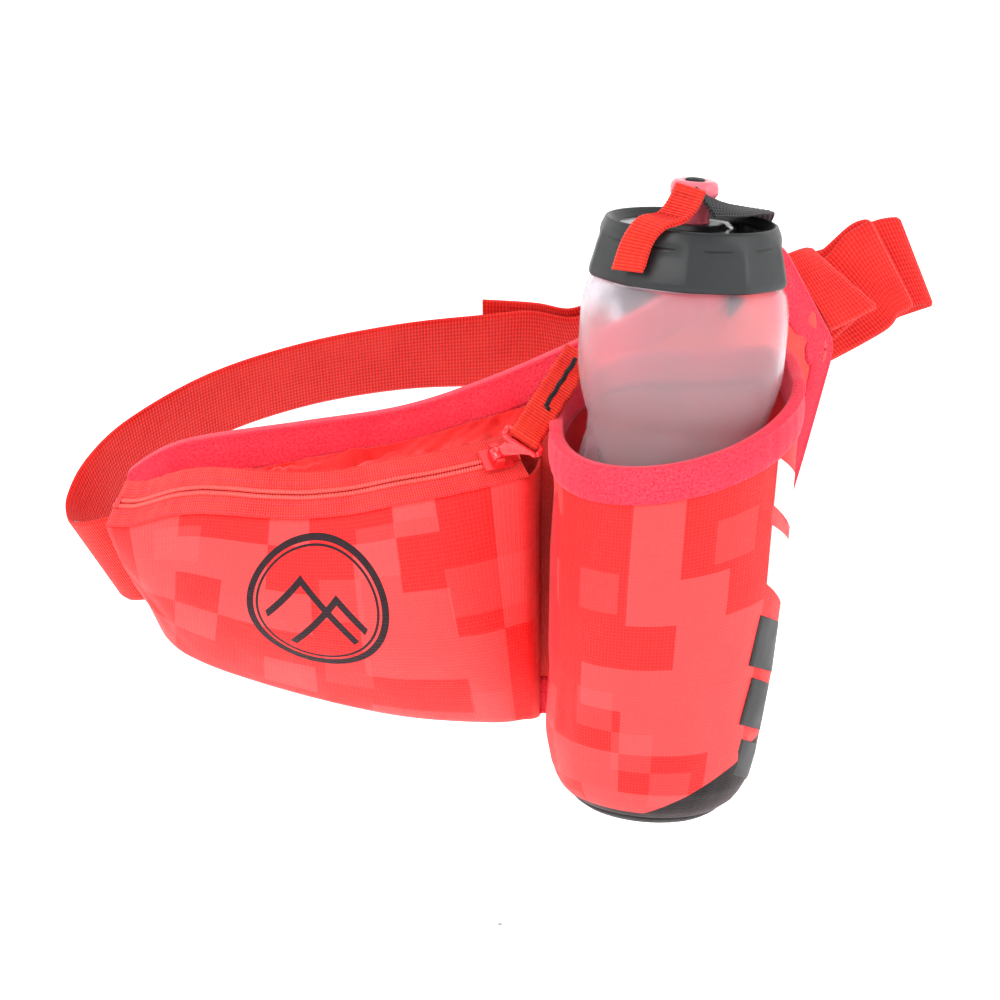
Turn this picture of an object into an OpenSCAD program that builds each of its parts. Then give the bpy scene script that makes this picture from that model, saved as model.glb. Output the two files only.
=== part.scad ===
// Waist pack: a padded lumbar panel with a zipped pocket, an angled bottle
// sleeve with its drink bottle, an elastic cap strap, and a 38 mm waist belt
// closed by a side-release buckle.
// +X runs along the panel from the pocket to the bottle, +Y points inward to
// the wearer, +Z is up. The origin is the middle of the waist loop.

/* [Panel] */
// Height of the waist loop's middle above the sleeve's lowest point
waist_height = 110; // [105:1:115]
// Thickness of the outer fabric of the panel
face_thick = 1; // [0.8:0.1:1.4]
// Thickness of the foam core of the panel
foam_thick = 5; // [4:0.5:7]
// Thickness of the mesh on the wearer's side
mesh_thick = 1.2; // [0.8:0.1:1.6]
// Width of the stretch binding round the panel
binding_width = 14; // [10:1:15]
// Thickness of the stretch binding
binding_thick = 0.9; // [0.6:0.1:1.2]

/* [Pocket] */
// How far the pocket's front swells past a straight sheet
pocket_belly = 13; // [8:1:16]
// Thickness of the pocket's cloth
cloth_thick = 1.4; // [1:0.1:1.8]
// How far the cloth between zip and panel sags
gusset_sag = 3; // [1:0.5:5]

/* [Zip] */
// Radius of the zip's arc
zip_radius = 131.5; // [131:0.5:133]
// Width of each zip tape beside its coil
tape_width = 7; // [6:0.5:8]
// Angle of the arc's left end
zip_start = -123; // [-124:1:-121]
// Angle of the arc's right end
zip_end = -54; // [-56:1:-53]
// Angle at which the slider is parked when the pocket is shut
slider_parked = -58; // [-59:0.5:-57.5]
// Length of the moulded pull
pull_length = 12; // [11:0.5:13]
// Length of the grosgrain tab on the pull
pull_tab_length = 40; // [32:1:42]

/* [Bottle and sleeve] */
// Lean of the bottle towards the end of the panel, in degrees
bottle_lean = 3.6; // [3.2:0.2:4]
// Largest radius of the bottle
bottle_radius = 36; // [35:0.5:36.5]
// Wall of the bottle
bottle_wall = 1.5; // [1:0.1:1.8]
// Thickness of the sleeve's outer cloth
sleeve_thick = 2; // [1.5:0.1:2.2]
// Thickness of the sleeve's lining
lining_thick = 1.4; // [1:0.1:1.6]
// Height of the binding round the sleeve's mouth
rim_binding = 12; // [8:1:14]

/* [Belt] */
// Width of the belt webbing
belt_width = 38; // [36:1:38]
// Thickness of the belt webbing
belt_thick = 1.6; // [1.4:0.1:1.8]
// Width of the elastic strap over the cap
elastic_width = 16; // [14:0.5:17]
// Thickness of the elastic strap
elastic_thick = 1.4; // [1.2:0.1:1.6]

/* [Hidden] */
$fn = 72;

// Middle of the waist loop, in the layout whose floor is the sleeve's lowest
// point and whose Y is zero on the panel's outer face
waist_centre = [-10, 50, waist_height];

// Panel outline: its top and bottom edges from the pocket end to the wing
panel_top = [[-139, 15, 103], [-118, 7, 116], [-73, 1, 124.5], [-36, 0, 130.5],
             [-5, 0, 140.8], [27, 0, 154.8], [56, 0, 169.5], [80, 3, 182.5],
             [95, 8, 191], [104, 13, 187]];
panel_bottom = [[-131, 4, 57], [-117, 0, 45], [-74, 0, 29], [-37, 0, 21],
                [-5, 0, 17], [27, 0, 15], [60, 0, 18], [86, 0, 42],
                [105.5, 8, 88], [124.5, 26, 150]];
panel_steps = 27;
panel_rows = 5;
panel_thick = face_thick + foam_thick + mesh_thick;

// Pocket outline: where the front cloth and the gusset meet the panel
pocket_bottom = [[-129, -1, 57], [-123, -6, 45.5], [-109, -8, 36.5], [-74, -9, 25],
                 [-37, -9, 16.5], [-4, -9, 14], [9, -7, 14.5]];
gusset_back = [[-137, 12, 92], [-118, 5.5, 102], [-73, -0.6, 113],
               [-36, -1.4, 120], [-7, -1.4, 128.5], [12, -1.4, 134]];
pocket_side = [15, -1.6];
pocket_steps = 24;
pocket_rows = 8;

// Zip: its arc lies in a slightly tipped plane, its tapes on a 45 degree cone
zip_centre = [-53, 86, 113.3];
zip_turn = [2, -8.6, -9];
coil_gap = 0.6;
coil_width = 1.8;
coil_half = 0.9;
tape_half = 0.3;
slider_span = 4.6;
pin_lift = 4;
pin_r = 0.8;
running_gap = 0.05;
pull_angle = 35;
tab_turn = [48.5, 31.5, -8.8];
tab_width = 12;
tab_bar_r = 0.9;

// Sleeve and bottle stand on one leaning axis
holster_foot = [52.9, -44, 0];
sleeve_radii = [[-1, 27.5], [0, 28.5], [3, 32], [6, 34], [11, 36.3],
                [20, 38], [50, 41.2], [85, 43], [138, 43.3]];
sleeve_back = 43.4;
sleeve_sides = 48;
sleeve_levels = [0, 0.02, 0.045, 0.08, 0.14, 0.22, 0.36, 0.52, 0.68, 0.84, 1];
rim_height = 142;
rim_slope = 0.26;
mouth_flare = 5;

// Bottle outline above its foot, as radius and height pairs
bottle_outline = [[0, 4], [22, 4], [24, 2.3], [27, 3.2], [29.5, 6], [31.5, 11],
                  [33, 17], [35, 30], [bottle_radius, 45],
                  [bottle_radius, 100], [35.4, 113], [32.5, 126], [31, 135],
                  [31.6, 139], [34, 147], [35.7, 156], [bottle_radius, 166],
                  [bottle_radius, 176], [34.8, 183], [32.6, 186.2],
                  [30.2, 187.4], [30.2, 199.5]];
cap_foot = 187.6;
cap_top = 207.6;
cap_roof = 201.6;
cap_bore = 6.08;
spout_stem = 6;

// Elastic strap over the cap: middle points and the way across its width
elastic_path = [[84.5, -0.4, 182], [86, -4, 191], [87.5, -11.5, 200],
                [88.4, -23, 207.2], [84.5, -35, 209.6], [77.5, -49, 212],
                [69, -60.5, 215.6]];
elastic_across = [[0.96, 0.15, -0.15], [0.96, 0.15, -0.15], [0.97, 0.08, -0.12],
                  [0.97, -0.1, -0.12], [0.88, -0.42, -0.14],
                  [0.58, -0.75, -0.26], [0.36, -0.76, -0.52]];
tab_path = [[64, -64.6, 221], [61, -67.4, 215.4], [57, -69.6, 211.6],
            [50.5, -72.4, 210], [45.6, -74.4, 204], [42.4, -74.6, 194.4]];
tab_across = [[0.9, -0.36, -0.24], [0.88, -0.4, -0.2], [0.87, -0.46, -0.15],
              [0.82, -0.5, -0.25], [0.86, -0.48, -0.12], [0.9, -0.42, -0.05]];
loop_tab_width = 11;

// Buckle frame: X along the belt, Y through its thickness, Z across its width
buckle_centre = [69, 101, 144.5];
buckle_turn = [24, -18, -3];
buckle_half = 6;
web_bar_x = 28;
web_bar_r = 2;
web_loop_r = web_bar_r + 0.6 + belt_thick / 2;
arm_pin_x = -12;
arm_pin_z = 13;

// Belt webbing: upper selvedge points and the way down across the webbing
buckle_down = turn(buckle_turn, [0, 0, -1]);
left_top = concat([[-124, 19.5, 92.5], [-145, 26, 85.4], [-158, 33, 80.5],
                   [-165.5, 41.5, 79.5], [-167, 50, 86.5], [-160, 57, 99.5],
                   [-145, 70, 112.3], [-115, 84, 127.3], [-79, 92, 137.9],
                   [-40, 95, 145.2], [-5, 95.5, 149], [12, 96, 150.3]],
                  [for (p = [[-38, -2.6], [-web_bar_x, -web_loop_r],
                             [-web_bar_x + web_loop_r, 0],
                             [-web_bar_x, web_loop_r], [-38, 4.2]])
                       buckle_point([p.x, p.y, belt_width / 2])],
                  [[14, 101.5, 152.8], [-7, 101, 154.2]]);
left_down = concat([[0.6, 0.05, -0.8], [0.58, 0.05, -0.82],
                    [0.55, 0.05, -0.83], [0.53, 0.08, -0.84],
                    [0.42, 0.24, -0.87], [0.25, 0.45, -0.86],
                    [0.08, 0.55, -0.83], [0, 0.58, -0.81], [0, 0.6, -0.8],
                    [0, 0.57, -0.82], [0, 0.5, -0.87], [0, 0.46, -0.89]],
                   [for (i = [1:5]) buckle_down], [[0, 0.45, -0.89], [0, 0.48, -0.88]]);
right_top = concat([[105, 22.8, 184.5], [111, 27, 186], [114.5, 32.5, 185.6],
                    [110, 38.5, 182], [100, 42.5, 173], [92, 46, 165],
                    [99, 50, 166], [122, 54.5, 177.5], [131, 57.5, 186.5],
                    [140.5, 62, 191.5], [134, 66.5, 189], [118, 68, 175],
                    [94, 69.8, 165], [101, 73.6, 166], [126, 75, 178],
                    [143, 76.5, 188.5], [154, 80.5, 190], [148, 85.5, 186.6],
                    [139.5, 87, 183], [124, 89, 175.5]],
                   [for (p = [[42, -2.2], [web_bar_x, -web_loop_r],
                              [web_bar_x - web_loop_r, 0],
                              [web_bar_x, web_loop_r], [42, 3]])
                        buckle_point([p.x, p.y, belt_width / 2])]);
right_down = concat([[0.5, 0.3, -0.81], [0.6, 0.28, -0.75],
                     [0.72, 0.25, -0.64], [0.72, 0.25, -0.65],
                     [0.66, 0.2, -0.72], [0.62, 0.15, -0.77], [0.62, 0.1, -0.78],
                     [0.66, 0.08, -0.75], [0.58, 0.04, -0.81],
                     [0.47, 0, -0.88], [0.55, 0, -0.83], [0.65, 0, -0.76],
                     [0.6, 0, -0.8], [0.6, 0, -0.8], [0.6, 0, -0.8],
                     [0.48, 0, -0.88], [0.39, 0.02, -0.92],
                     [0.38, 0.03, -0.92], [0.36, 0.06, -0.93],
                     [0.33, 0.2, -0.92]],
                    [for (i = [1:5]) buckle_down]);

// ---- Curves and frames ----

function mix(a, b, t) = a + (b - a) * t;
function unit(v) = v / norm(v);
function about_x(a, v) = [v.x, v.y * cos(a) - v.z * sin(a), v.y * sin(a) + v.z * cos(a)];
function about_y(a, v) = [v.x * cos(a) + v.z * sin(a), v.y, v.z * cos(a) - v.x * sin(a)];
function about_z(a, v) = [v.x * cos(a) - v.y * sin(a), v.x * sin(a) + v.y * cos(a), v.z];
function turn(r, v) = about_z(r.z, about_y(r.y, about_x(r.x, v)));

// Smooth curve through the points p, at t from 0 to 1
function curve(p, t) =
    let (last = len(p) - 1,
         i = min(floor(t * last), last - 1),
         f = t * last - i,
         a = p[max(i - 1, 0)], b = p[i], c = p[i + 1], d = p[min(i + 2, last)])
    (2 * b + (c - a) * f + (2 * a - 5 * b + 4 * c - d) * f * f
     + (3 * b - a - 3 * c + d) * f * f * f) / 2;

function buckle_point(p) = buckle_centre + turn(buckle_turn, p);
function zip_point(angle, r, h) = zip_centre + turn(zip_turn, [r * cos(angle), r * sin(angle), h]);

// Radius and height on the zip's cone: s runs down the tape, n out of it
function cone(s, n) = [zip_radius + (s + n) * sqrt(0.5), (n - s) * sqrt(0.5)];

function slider_point(p) =
    let (q = turn([0, 0, slider_parked], [zip_radius, 0, 0] + turn([0, 45, 0], p)))
    zip_centre + turn(zip_turn, q);

module placed() {
    translate(-waist_centre) children();
}

module zip_frame() {
    translate(zip_centre) rotate(zip_turn) children();
}

module slider_frame() {
    zip_frame()
        rotate([0, 0, slider_parked])
            translate([zip_radius, 0, 0])
                rotate([0, 45, 0]) children();
}

module holster_frame() {
    translate(holster_foot) rotate([0, bottle_lean, 0]) children();
}

module buckle_frame() {
    translate(buckle_centre) rotate(buckle_turn) children();
}

// ---- Meshes made from rows of points ----

function quads(rows, cols, base, flip) =
    [for (i = [0:rows - 2], j = [0:cols - 2])
        let (a = base + i * cols + j, b = a + 1, c = a + cols + 1, d = a + cols)
        each flip ? [[a, c, b], [a, d, c]] : [[a, b, c], [a, c, d]]];

// Closed sheet between two grids of points; wrap joins the last column to the
// first, and ends closes the first and last rows
module sheet(front, back, wrap = false) {
    rows = len(front);
    cols = len(front[0]);
    size = rows * cols;
    points = concat([for (row = front) each row], [for (row = back) each row]);
    top = (rows - 1) * cols;
    ends = [for (j = [0:cols - 2])
        each [[j, j + size, j + 1], [j + 1, j + size, j + 1 + size],
              [top + j, top + j + 1, top + j + size],
              [top + j + 1, top + j + 1 + size, top + j + size]]];
    sides = wrap ? [] : [for (i = [0:rows - 2])
        let (a = i * cols, b = a + cols, c = a + cols - 1, d = c + cols)
        each [[a, b, a + size], [b, b + size, a + size],
              [c, c + size, d], [d, c + size, d + size]]];
    seam = wrap ? [for (i = [0:rows - 2])
        let (a = i * cols + cols - 1, b = i * cols, c = b + cols, d = a + cols)
        each [[a, b, c], [a, c, d], [a + size, c + size, b + size],
              [a + size, d + size, c + size]]] : [];
    caps = wrap ? [for (k = [0, top])
        let (a = k + cols - 1, b = k)
        each k == 0 ? [[a, a + size, b], [b, a + size, b + size]]
                    : [[a, b, a + size], [b, b + size, a + size]]] : [];
    polyhedron(points, concat(quads(rows, cols, 0, false),
                              quads(rows, cols, size, true),
                              ends, sides, seam, caps));
}

// Closed ring: the same closed profile at each station round a loop
module ring(stations) {
    count = len(stations);
    corners = len(stations[0]);
    faces = [for (i = [0:count - 1], j = [0:corners - 1])
        let (a = i * corners + j, b = i * corners + (j + 1) % corners,
             c = ((i + 1) % count) * corners + (j + 1) % corners,
             d = ((i + 1) % count) * corners + j)
        each [[a, b, c], [a, c, d]]];
    polyhedron([for (s = stations) each s], faces);
}

// Flat strap: upper edge curve, direction across the width, width, thickness
function strap_row(top, across, width, lift, t, cols) =
    let (w = unit(curve(across, t)),
         e = 0.002,
         along = curve(top, min(t + e, 1)) - curve(top, max(t - e, 0)),
         normal = unit(cross(along, w)),
         start = curve(top, t))
    [for (j = [0:cols]) start + w * width * j / cols + normal * lift];

module strap(top, across, width, thick, steps, cols = 1, from = 0, to = 1, lift = 0) {
    rows = [for (i = [0:steps]) mix(from, to, i / steps)];
    sheet([for (t = rows) strap_row(top, across, width, lift - thick / 2, t, cols)],
          [for (t = rows) strap_row(top, across, width, lift + thick / 2, t, cols)]);
}

// ---- Panel ----

function panel_point(t, v, depth) =
    mix(curve(panel_bottom, t), curve(panel_top, t), v) + [0, depth, 0];

function panel_grid(depth) =
    [for (i = [0:panel_steps])
        [for (j = [0:panel_rows]) panel_point(i / panel_steps, j / panel_rows, depth)]];

module panel_layer(near, far) {
    placed() sheet(panel_grid(near), panel_grid(far));
}

module panel_face() {
    color("tomato") panel_layer(0, face_thick);
}

module panel_foam() {
    color("dimgray") panel_layer(face_thick, face_thick + foam_thick);
}

module panel_mesh() {
    color("darkslategray") panel_layer(face_thick + foam_thick, panel_thick);
}

// Stations round the panel as [t, v] pairs, anticlockwise from the low corner
rim_stations = concat([for (i = [0:panel_steps - 1]) [i / panel_steps, 0]],
                      [for (j = [0:3]) [1, j / 4]],
                      [for (i = [0:panel_steps - 1]) [1 - i / panel_steps, 1]],
                      [for (j = [0:3]) [0, 1 - j / 4]]);

function panel_inward(t, v) =
    let (up = unit(panel_point(t, 1, 0) - panel_point(t, 0, 0)),
         right = unit(panel_point(min(t + 0.02, 1), v, 0) - panel_point(max(t - 0.02, 0), v, 0)),
         rise = v == 0 ? 1 : v == 1 ? -1 : 0,
         run = t == 0 ? 1 : t == 1 ? -1 : 0)
    unit(up * rise + right * run);

module panel_binding() {
    b = binding_thick;
    w = binding_width;
    profile = [[w, 0], [w, -b], [-b, -b], [-b, panel_thick + b],
               [w, panel_thick + b], [w, panel_thick], [0, panel_thick], [0, 0]];
    color("hotpink") placed()
        ring([for (s = rim_stations)
            let (edge = panel_point(s.x, s.y, 0), inward = panel_inward(s.x, s.y))
            [for (p = profile) edge + inward * p.x + [0, p.y, 0]]]);
}

// ---- Pocket ----

function front_point(u, v, depth) =
    let (tape_edge = cone(coil_gap + coil_width + tape_width, -tape_half),
         angle = mix(zip_start, zip_end - 2, u),
         top = zip_point(angle, tape_edge[0], tape_edge[1]),
         low = curve(pocket_bottom, u),
         swell = pocket_belly * pow(sin(180 * v), 0.8) * pow(sin(20 + 140 * u), 0.6))
    mix(low, top, v) + [u == 0 ? depth : 0, depth - swell, -0.1 * swell];

// The front's right end turns back to the panel in a quarter round
function front_close(v, a, depth) =
    let (p = front_point(1, v, 0), q = pocket_side)
    [mix(p.x, q.x, sin(a)) - depth * sin(a), mix(q.y, p.y, cos(a)) + depth * cos(a), p.z];

// The front's left end turns back to the panel too
function front_left(v, k, depth) =
    mix(mix([-132.5, 2.7, 60], [-138, 11.6, 91], v), front_point(0, v, 0), k)
    + [depth, 0, 0];

function front_grid(depth) =
    concat([for (k = [0, 0.5]) [for (j = [0:pocket_rows]) front_left(j / pocket_rows, k, depth)]],
           [for (i = [0:pocket_steps])
               [for (j = [0:pocket_rows]) front_point(i / pocket_steps, j / pocket_rows, depth)]],
           [for (a = [30, 60, 90])
               [for (j = [0:pocket_rows]) front_close(j / pocket_rows, a, depth)]]);

module pocket_front() {
    color("tomato") placed() sheet(front_grid(0), front_grid(cloth_thick));
}

function gusset_point(u, v, drop) =
    let (tape_edge = cone(-coil_gap - coil_width - tape_width, 0),
         zip_edge = zip_point(mix(zip_start, zip_end, u), tape_edge[0], tape_edge[1]),
         panel_edge = curve(gusset_back, u))
    mix(zip_edge, panel_edge, v) - [0, 0, drop + gusset_sag * sin(180 * v)];

function gusset_grid(drop) =
    [for (i = [0:pocket_steps]) [for (j = [0:4]) gusset_point(i / pocket_steps, j / 4, drop)]];

module pocket_gusset() {
    color("orangered") placed() sheet(gusset_grid(cloth_thick), gusset_grid(0));
}

// ---- Zip ----

module zip_band(outline) {
    placed() zip_frame()
        rotate([0, 0, zip_start])
            rotate_extrude(angle = zip_end - zip_start, $fn = 144)
                polygon(outline);
}

module zip_tape(side) {
    inner = side * (coil_gap + coil_width);
    outer = inner + side * tape_width;
    zip_band([cone(inner, -tape_half), cone(outer, -tape_half),
              cone(outer, tape_half), cone(inner, tape_half)]);
}

module zip_coil(side) {
    middle = side * (coil_gap + coil_width / 2);
    zip_band([for (a = [0:45:315])
        cone(middle + coil_width / 2 * cos(a), coil_half * sin(a))]);
}

module zip_tape_lower() {
    color("salmon") zip_tape(1);
}

module zip_tape_upper() {
    color("salmon") zip_tape(-1);
}

module zip_coil_lower() {
    color("lightcoral") zip_coil(1);
}

module zip_coil_upper() {
    color("lightcoral") zip_coil(-1);
}

module zip_end_stops() {
    stop_span = 1;
    reach = coil_gap + coil_width - 0.1;
    color("firebrick") placed() zip_frame()
        for (angle = [zip_start + 0.4, zip_end - 1.4], n = [-1, 1])
            rotate([0, 0, angle])
                rotate_extrude(angle = stop_span, $fn = 144)
                    polygon([cone(-reach, n * 0.95), cone(reach, n * 0.95),
                             cone(reach, n * 1.15), cone(-reach, n * 1.15)]);
}

module zip_slider() {
    half = 4.4;
    low = 1.25;
    high = 2.3;
    lug_x = 3.3;
    color("red") placed() {
        zip_frame()
            rotate([0, 0, slider_parked - slider_span / 2])
                rotate_extrude(angle = slider_span, $fn = 144)
                    polygon([cone(-half, -high), cone(half, -high), cone(half, -low),
                             cone(0.3, -low), cone(0.3, low), cone(half, low),
                             cone(half, high), cone(-half, high), cone(-half, low),
                             cone(-0.3, low), cone(-0.3, -low), cone(-half, -low)]);
        slider_frame() {
            for (x = [-lug_x, lug_x])
                translate([x, 0, pin_lift / 2 + high / 2 + 0.6]) cube([1.2, 3, pin_lift - 0.6], center = true);
            translate([-lug_x, 0, pin_lift]) rotate([0, 90, 0]) cylinder(h = 2 * lug_x, r = pin_r, $fn = 32);
        }
    }
}

pull_end = slider_point([0, pull_length * cos(pull_angle), pin_lift + pull_length * sin(pull_angle)]);

module tab_frame() {
    translate(pull_end) rotate(tab_turn) children();
}

// Moulded pull: an eye on the slider's pin, a neck, and a bar for the tab
module zip_pull() {
    eye_width = 4.6;
    post_x = tab_width / 2 + 1;
    yoke = 4;
    neck_start = slider_point([0, 2.6 * cos(pull_angle), pin_lift + 2.6 * sin(pull_angle)]);
    neck_end = pull_end + turn(tab_turn, [0, -yoke, 0]);
    color("red") placed() {
        slider_frame()
            translate([-eye_width / 2, 0, pin_lift]) rotate([0, 90, 0])
                difference() {
                    cylinder(h = eye_width, r = 1.6, $fn = 32);
                    translate([0, 0, -1]) cylinder(h = eye_width + 2, r = pin_r + running_gap, $fn = 32);
                }
        hull() {
            translate(neck_start) sphere(r = 1.2, $fn = 16);
            translate(neck_end) sphere(r = 1.2, $fn = 16);
        }
        tab_frame() {
            translate([-post_x, 0, 0]) rotate([0, 90, 0]) cylinder(h = 2 * post_x, r = tab_bar_r, $fn = 24);
            translate([0, -yoke, 0]) cube([2 * post_x + 1.4, 1.6, 1.8], center = true);
            for (x = [-post_x, post_x])
                translate([x, -yoke / 2, 0]) cube([1.4, yoke + 1.8, 1.8], center = true);
        }
    }
}

// Grosgrain tab; where it leans on the mouth of the sleeve it gives way to it
module zip_pull_tab() {
    loop_r = 2.1;
    color("orangered") placed()
        difference() {
            tab_frame() {
                translate([-tab_width / 2 + 0.2, 0, 0]) rotate([0, 90, 0])
                    cylinder(h = tab_width - 0.4, r = loop_r, $fn = 32);
                translate([-tab_width / 2 + 0.2, 0, -0.9]) cube([tab_width - 0.4, pull_tab_length, 1.8]);
            }
            tab_frame()
                translate([-tab_width, 0, 0]) rotate([0, 90, 0])
                    cylinder(h = 2 * tab_width, r = tab_bar_r + running_gap, $fn = 32);
            mouth_clearance();
        }
}

// Room that the left wall of the sleeve's mouth needs
module mouth_clearance() {
    gap = 0.2;
    wall_x = 43.3 + binding_thick + gap;
    top = 133.4;
    holster_frame()
        translate([-wall_x, -20, 100]) cube([20, 50, top - 100]);
}

// ---- Sleeve ----

// Point on the sleeve at height fraction f and angle a, moved inward by inset.
// The front half is round; the back half squares off against the panel.
function sleeve_point(f, a, inset, lift = 0) =
    let (rim = rim_height + rim_slope * (43 * sin(a) + 43 * cos(a)),
         h = f * rim + lift,
         r = lookup(h, sleeve_radii) - inset,
         settle = min(h / 30, 1),
         back = mix(r, sleeve_back - inset, settle),
         square = sin(a) > 0 ? mix(1, 0.5, settle) : 1,
         x = sign(cos(a)) * pow(abs(cos(a)), square) * r,
         y = sign(sin(a)) * pow(abs(sin(a)), square) * (sin(a) > 0 ? back : r),
         flare = cos(a) > 0 && sin(a) > 0 ? mouth_flare * f * pow(sin(a), 2) : 0)
    [x + flare, y, h];

function sleeve_grid(inset, levels) =
    [for (f = levels)
        [for (k = [0:sleeve_sides - 1]) sleeve_point(f, k * 360 / sleeve_sides, inset)]];

module sleeve_wall(outer, inner) {
    placed() holster_frame()
        sheet(sleeve_grid(outer, sleeve_levels), sleeve_grid(inner, sleeve_levels), wrap = true);
}

module bottle_sleeve() {
    color("tomato") sleeve_wall(0, sleeve_thick);
}

module sleeve_lining() {
    color("brown") sleeve_wall(sleeve_thick, sleeve_thick + lining_thick);
}

module sleeve_binding() {
    b = binding_thick;
    w = sleeve_thick + lining_thick;
    profile = [[0, -rim_binding], [-b, -rim_binding], [-b, b], [w + b, b],
               [w + b, -rim_binding], [w, -rim_binding], [w, 0], [0, 0]];
    color("hotpink") placed() holster_frame()
        ring([for (k = [0:sleeve_sides - 1])
            [for (p = profile) sleeve_point(1, k * 360 / sleeve_sides, p.x, p.y)]]);
}

module sleeve_base() {
    color("black") placed() holster_frame()
        rotate_extrude()
            polygon([[0, -5], [18, -5], [24, -3.4], [27.6, -0.2], [24.6, -0.2],
                     [24.6, 1.9], [0, 1.9]]);
}

// ---- Bottle ----

module bottle_body() {
    inner = [for (i = [len(bottle_outline) - 1:-1:0])
        let (p = bottle_outline[i])
        [max(p.x - bottle_wall, 0), i < 6 ? p.y + bottle_wall : p.y]];
    color("lavender") placed() holster_frame()
        rotate_extrude() polygon(concat(bottle_outline, inner));
}

module cap_seal() {
    color("gainsboro") placed() holster_frame()
        translate([0, 0, 199.8])
            difference() {
                cylinder(h = 1.5, r = 30.6);
                translate([0, 0, -1]) cylinder(h = 4, r = 25.5);
            }
}

module bottle_cap() {
    skirt_bore = 31.4;
    color("dimgray") placed() holster_frame()
        rotate_extrude()
            polygon([[35.2, cap_foot], [35.2, cap_foot + 2.6], [31.6, 203], [30, cap_top],
                     [28.2, cap_top], [26.6, 204.8], [12.5, 204.8], [11.5, 207],
                     [cap_bore, 207], [cap_bore, cap_roof], [skirt_bore, cap_roof],
                     [skirt_bore, cap_foot]]);
}

module spout() {
    bore = 3.4;
    color("palevioletred") placed() holster_frame()
        rotate_extrude()
            polygon([[bore, 195], [spout_stem, 195], [spout_stem, 215], [7.4, 215.6],
                     [8.3, 217.4], [8.3, 219.4], [7.2, 221.4], [bore, 221.4]]);
}

module spout_valve() {
    color("black") placed() holster_frame()
        translate([0, 0, 217]) cylinder(h = 5, r = 3.35);
}

// ---- Cap strap ----

module retention_anchor() {
    ta = 0.79;
    tb = 0.83;
    top = 1.012;
    near = -binding_thick - 1.6;
    far = -binding_thick - 0.2;
    function patch(depth) = [for (i = [0:3])
        [for (v = [0.86, 0.93, top]) panel_point(mix(ta, tb, i / 3), v, depth)]];
    color("black") placed() sheet(patch(near), patch(far));
}

elastic_edge = [for (i = [0:len(elastic_path) - 1])
    elastic_path[i] - unit(elastic_across[i]) * elastic_width / 2];
tab_edge = [for (i = [0:len(tab_path) - 1])
    tab_path[i] - unit(tab_across[i]) * loop_tab_width / 2];

// Room that the cap and the spout need under the strap
module cap_clearance() {
    gap = 0.15;
    neck = 8.3 + 2 * gap;
    holster_frame()
        rotate_extrude()
            polygon([[0, cap_foot], [35.2 + gap, cap_foot], [35.2 + gap, cap_foot + 2.6 + gap],
                     [31.6 + gap, 203 + gap], [30, cap_top + gap], [neck, cap_top + gap],
                     [neck, 224], [0, 224]]);
}

module retention_elastic() {
    color("black") placed()
        difference() {
            strap(elastic_edge, elastic_across, elastic_width, elastic_thick, 24);
            cap_clearance();
        }
}

module retention_tab() {
    color("orangered") placed()
        difference() {
            strap(tab_edge, tab_across, loop_tab_width, 2, 16);
            cap_clearance();
        }
}

// ---- Belt ----

module belt_strap_left() {
    color("tomato") placed() strap(left_top, left_down, belt_width, belt_thick, 90);
}

module reflective_stripe() {
    stripe_from = 0.135;
    stripe_to = 0.165;
    color("silver") placed()
        strap([for (p = left_top) p], left_down, belt_width - 0.5, 0.3, 4, 4,
              stripe_from, stripe_to, -belt_thick / 2 - 0.2);
}

module belt_strap_right() {
    color("tomato") placed() strap(right_top, right_down, belt_width, belt_thick, 110);
}

// Elastic band that gathers the folded webbing
module strap_keeper() {
    wall = 1.2;
    width = 10;
    deep = 34.6;
    tall = belt_width + 1;
    color("tomato") placed() translate([108, 58, 153.5]) rotate([0, -39, 0])
        difference() {
            cube([width, deep + 2 * wall, tall + 2 * wall], center = true);
            cube([width + 2, deep, tall], center = true);
        }
}

// ---- Buckle ----

module web_bar(x) {
    translate([x, 0, -23]) cylinder(h = 46, r = web_bar_r, $fn = 32);
}

module buckle_female() {
    color("black") placed() buckle_frame() {
        for (y = [-buckle_half, buckle_half - 1.8])
            translate([-8, y, -24.3]) cube([30, 1.8, 48.6]);
        for (z = [-24.3, 22.3]) {
            translate([-8, -buckle_half + 1.8, z]) cube([8, 2 * buckle_half - 3.6, 2]);
            translate([16, -buckle_half + 1.8, z]) cube([6, 2 * buckle_half - 3.6, 2]);
            translate([22, -3, z]) cube([8, 6, 2]);
        }
        translate([20, -buckle_half + 1.8, -22.3]) cube([2, 2 * buckle_half - 3.6, 44.6]);
        web_bar(web_bar_x);
    }
}

module buckle_male() {
    socket_r = 2.6;
    color("black") placed() buckle_frame() {
        difference() {
            translate([-20, -buckle_half + 0.5, -24.3]) cube([11, 2 * buckle_half - 1, 48.6]);
            for (z = [-arm_pin_z, arm_pin_z]) {
                translate([arm_pin_x, -buckle_half, z]) rotate([-90, 0, 0])
                    cylinder(h = 2 * buckle_half, r = socket_r + running_gap, $fn = 48);
                translate([arm_pin_x, -buckle_half, z - 3]) cube([6, 2 * buckle_half, 6]);
            }
        }
        for (z = [-24.3, 22.3])
            translate([-30, -3, z]) cube([10, 6, 2]);
        translate([-9, -3.4, -5]) cube([25, 6.8, 10]);
        web_bar(-web_bar_x);
    }
}

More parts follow.
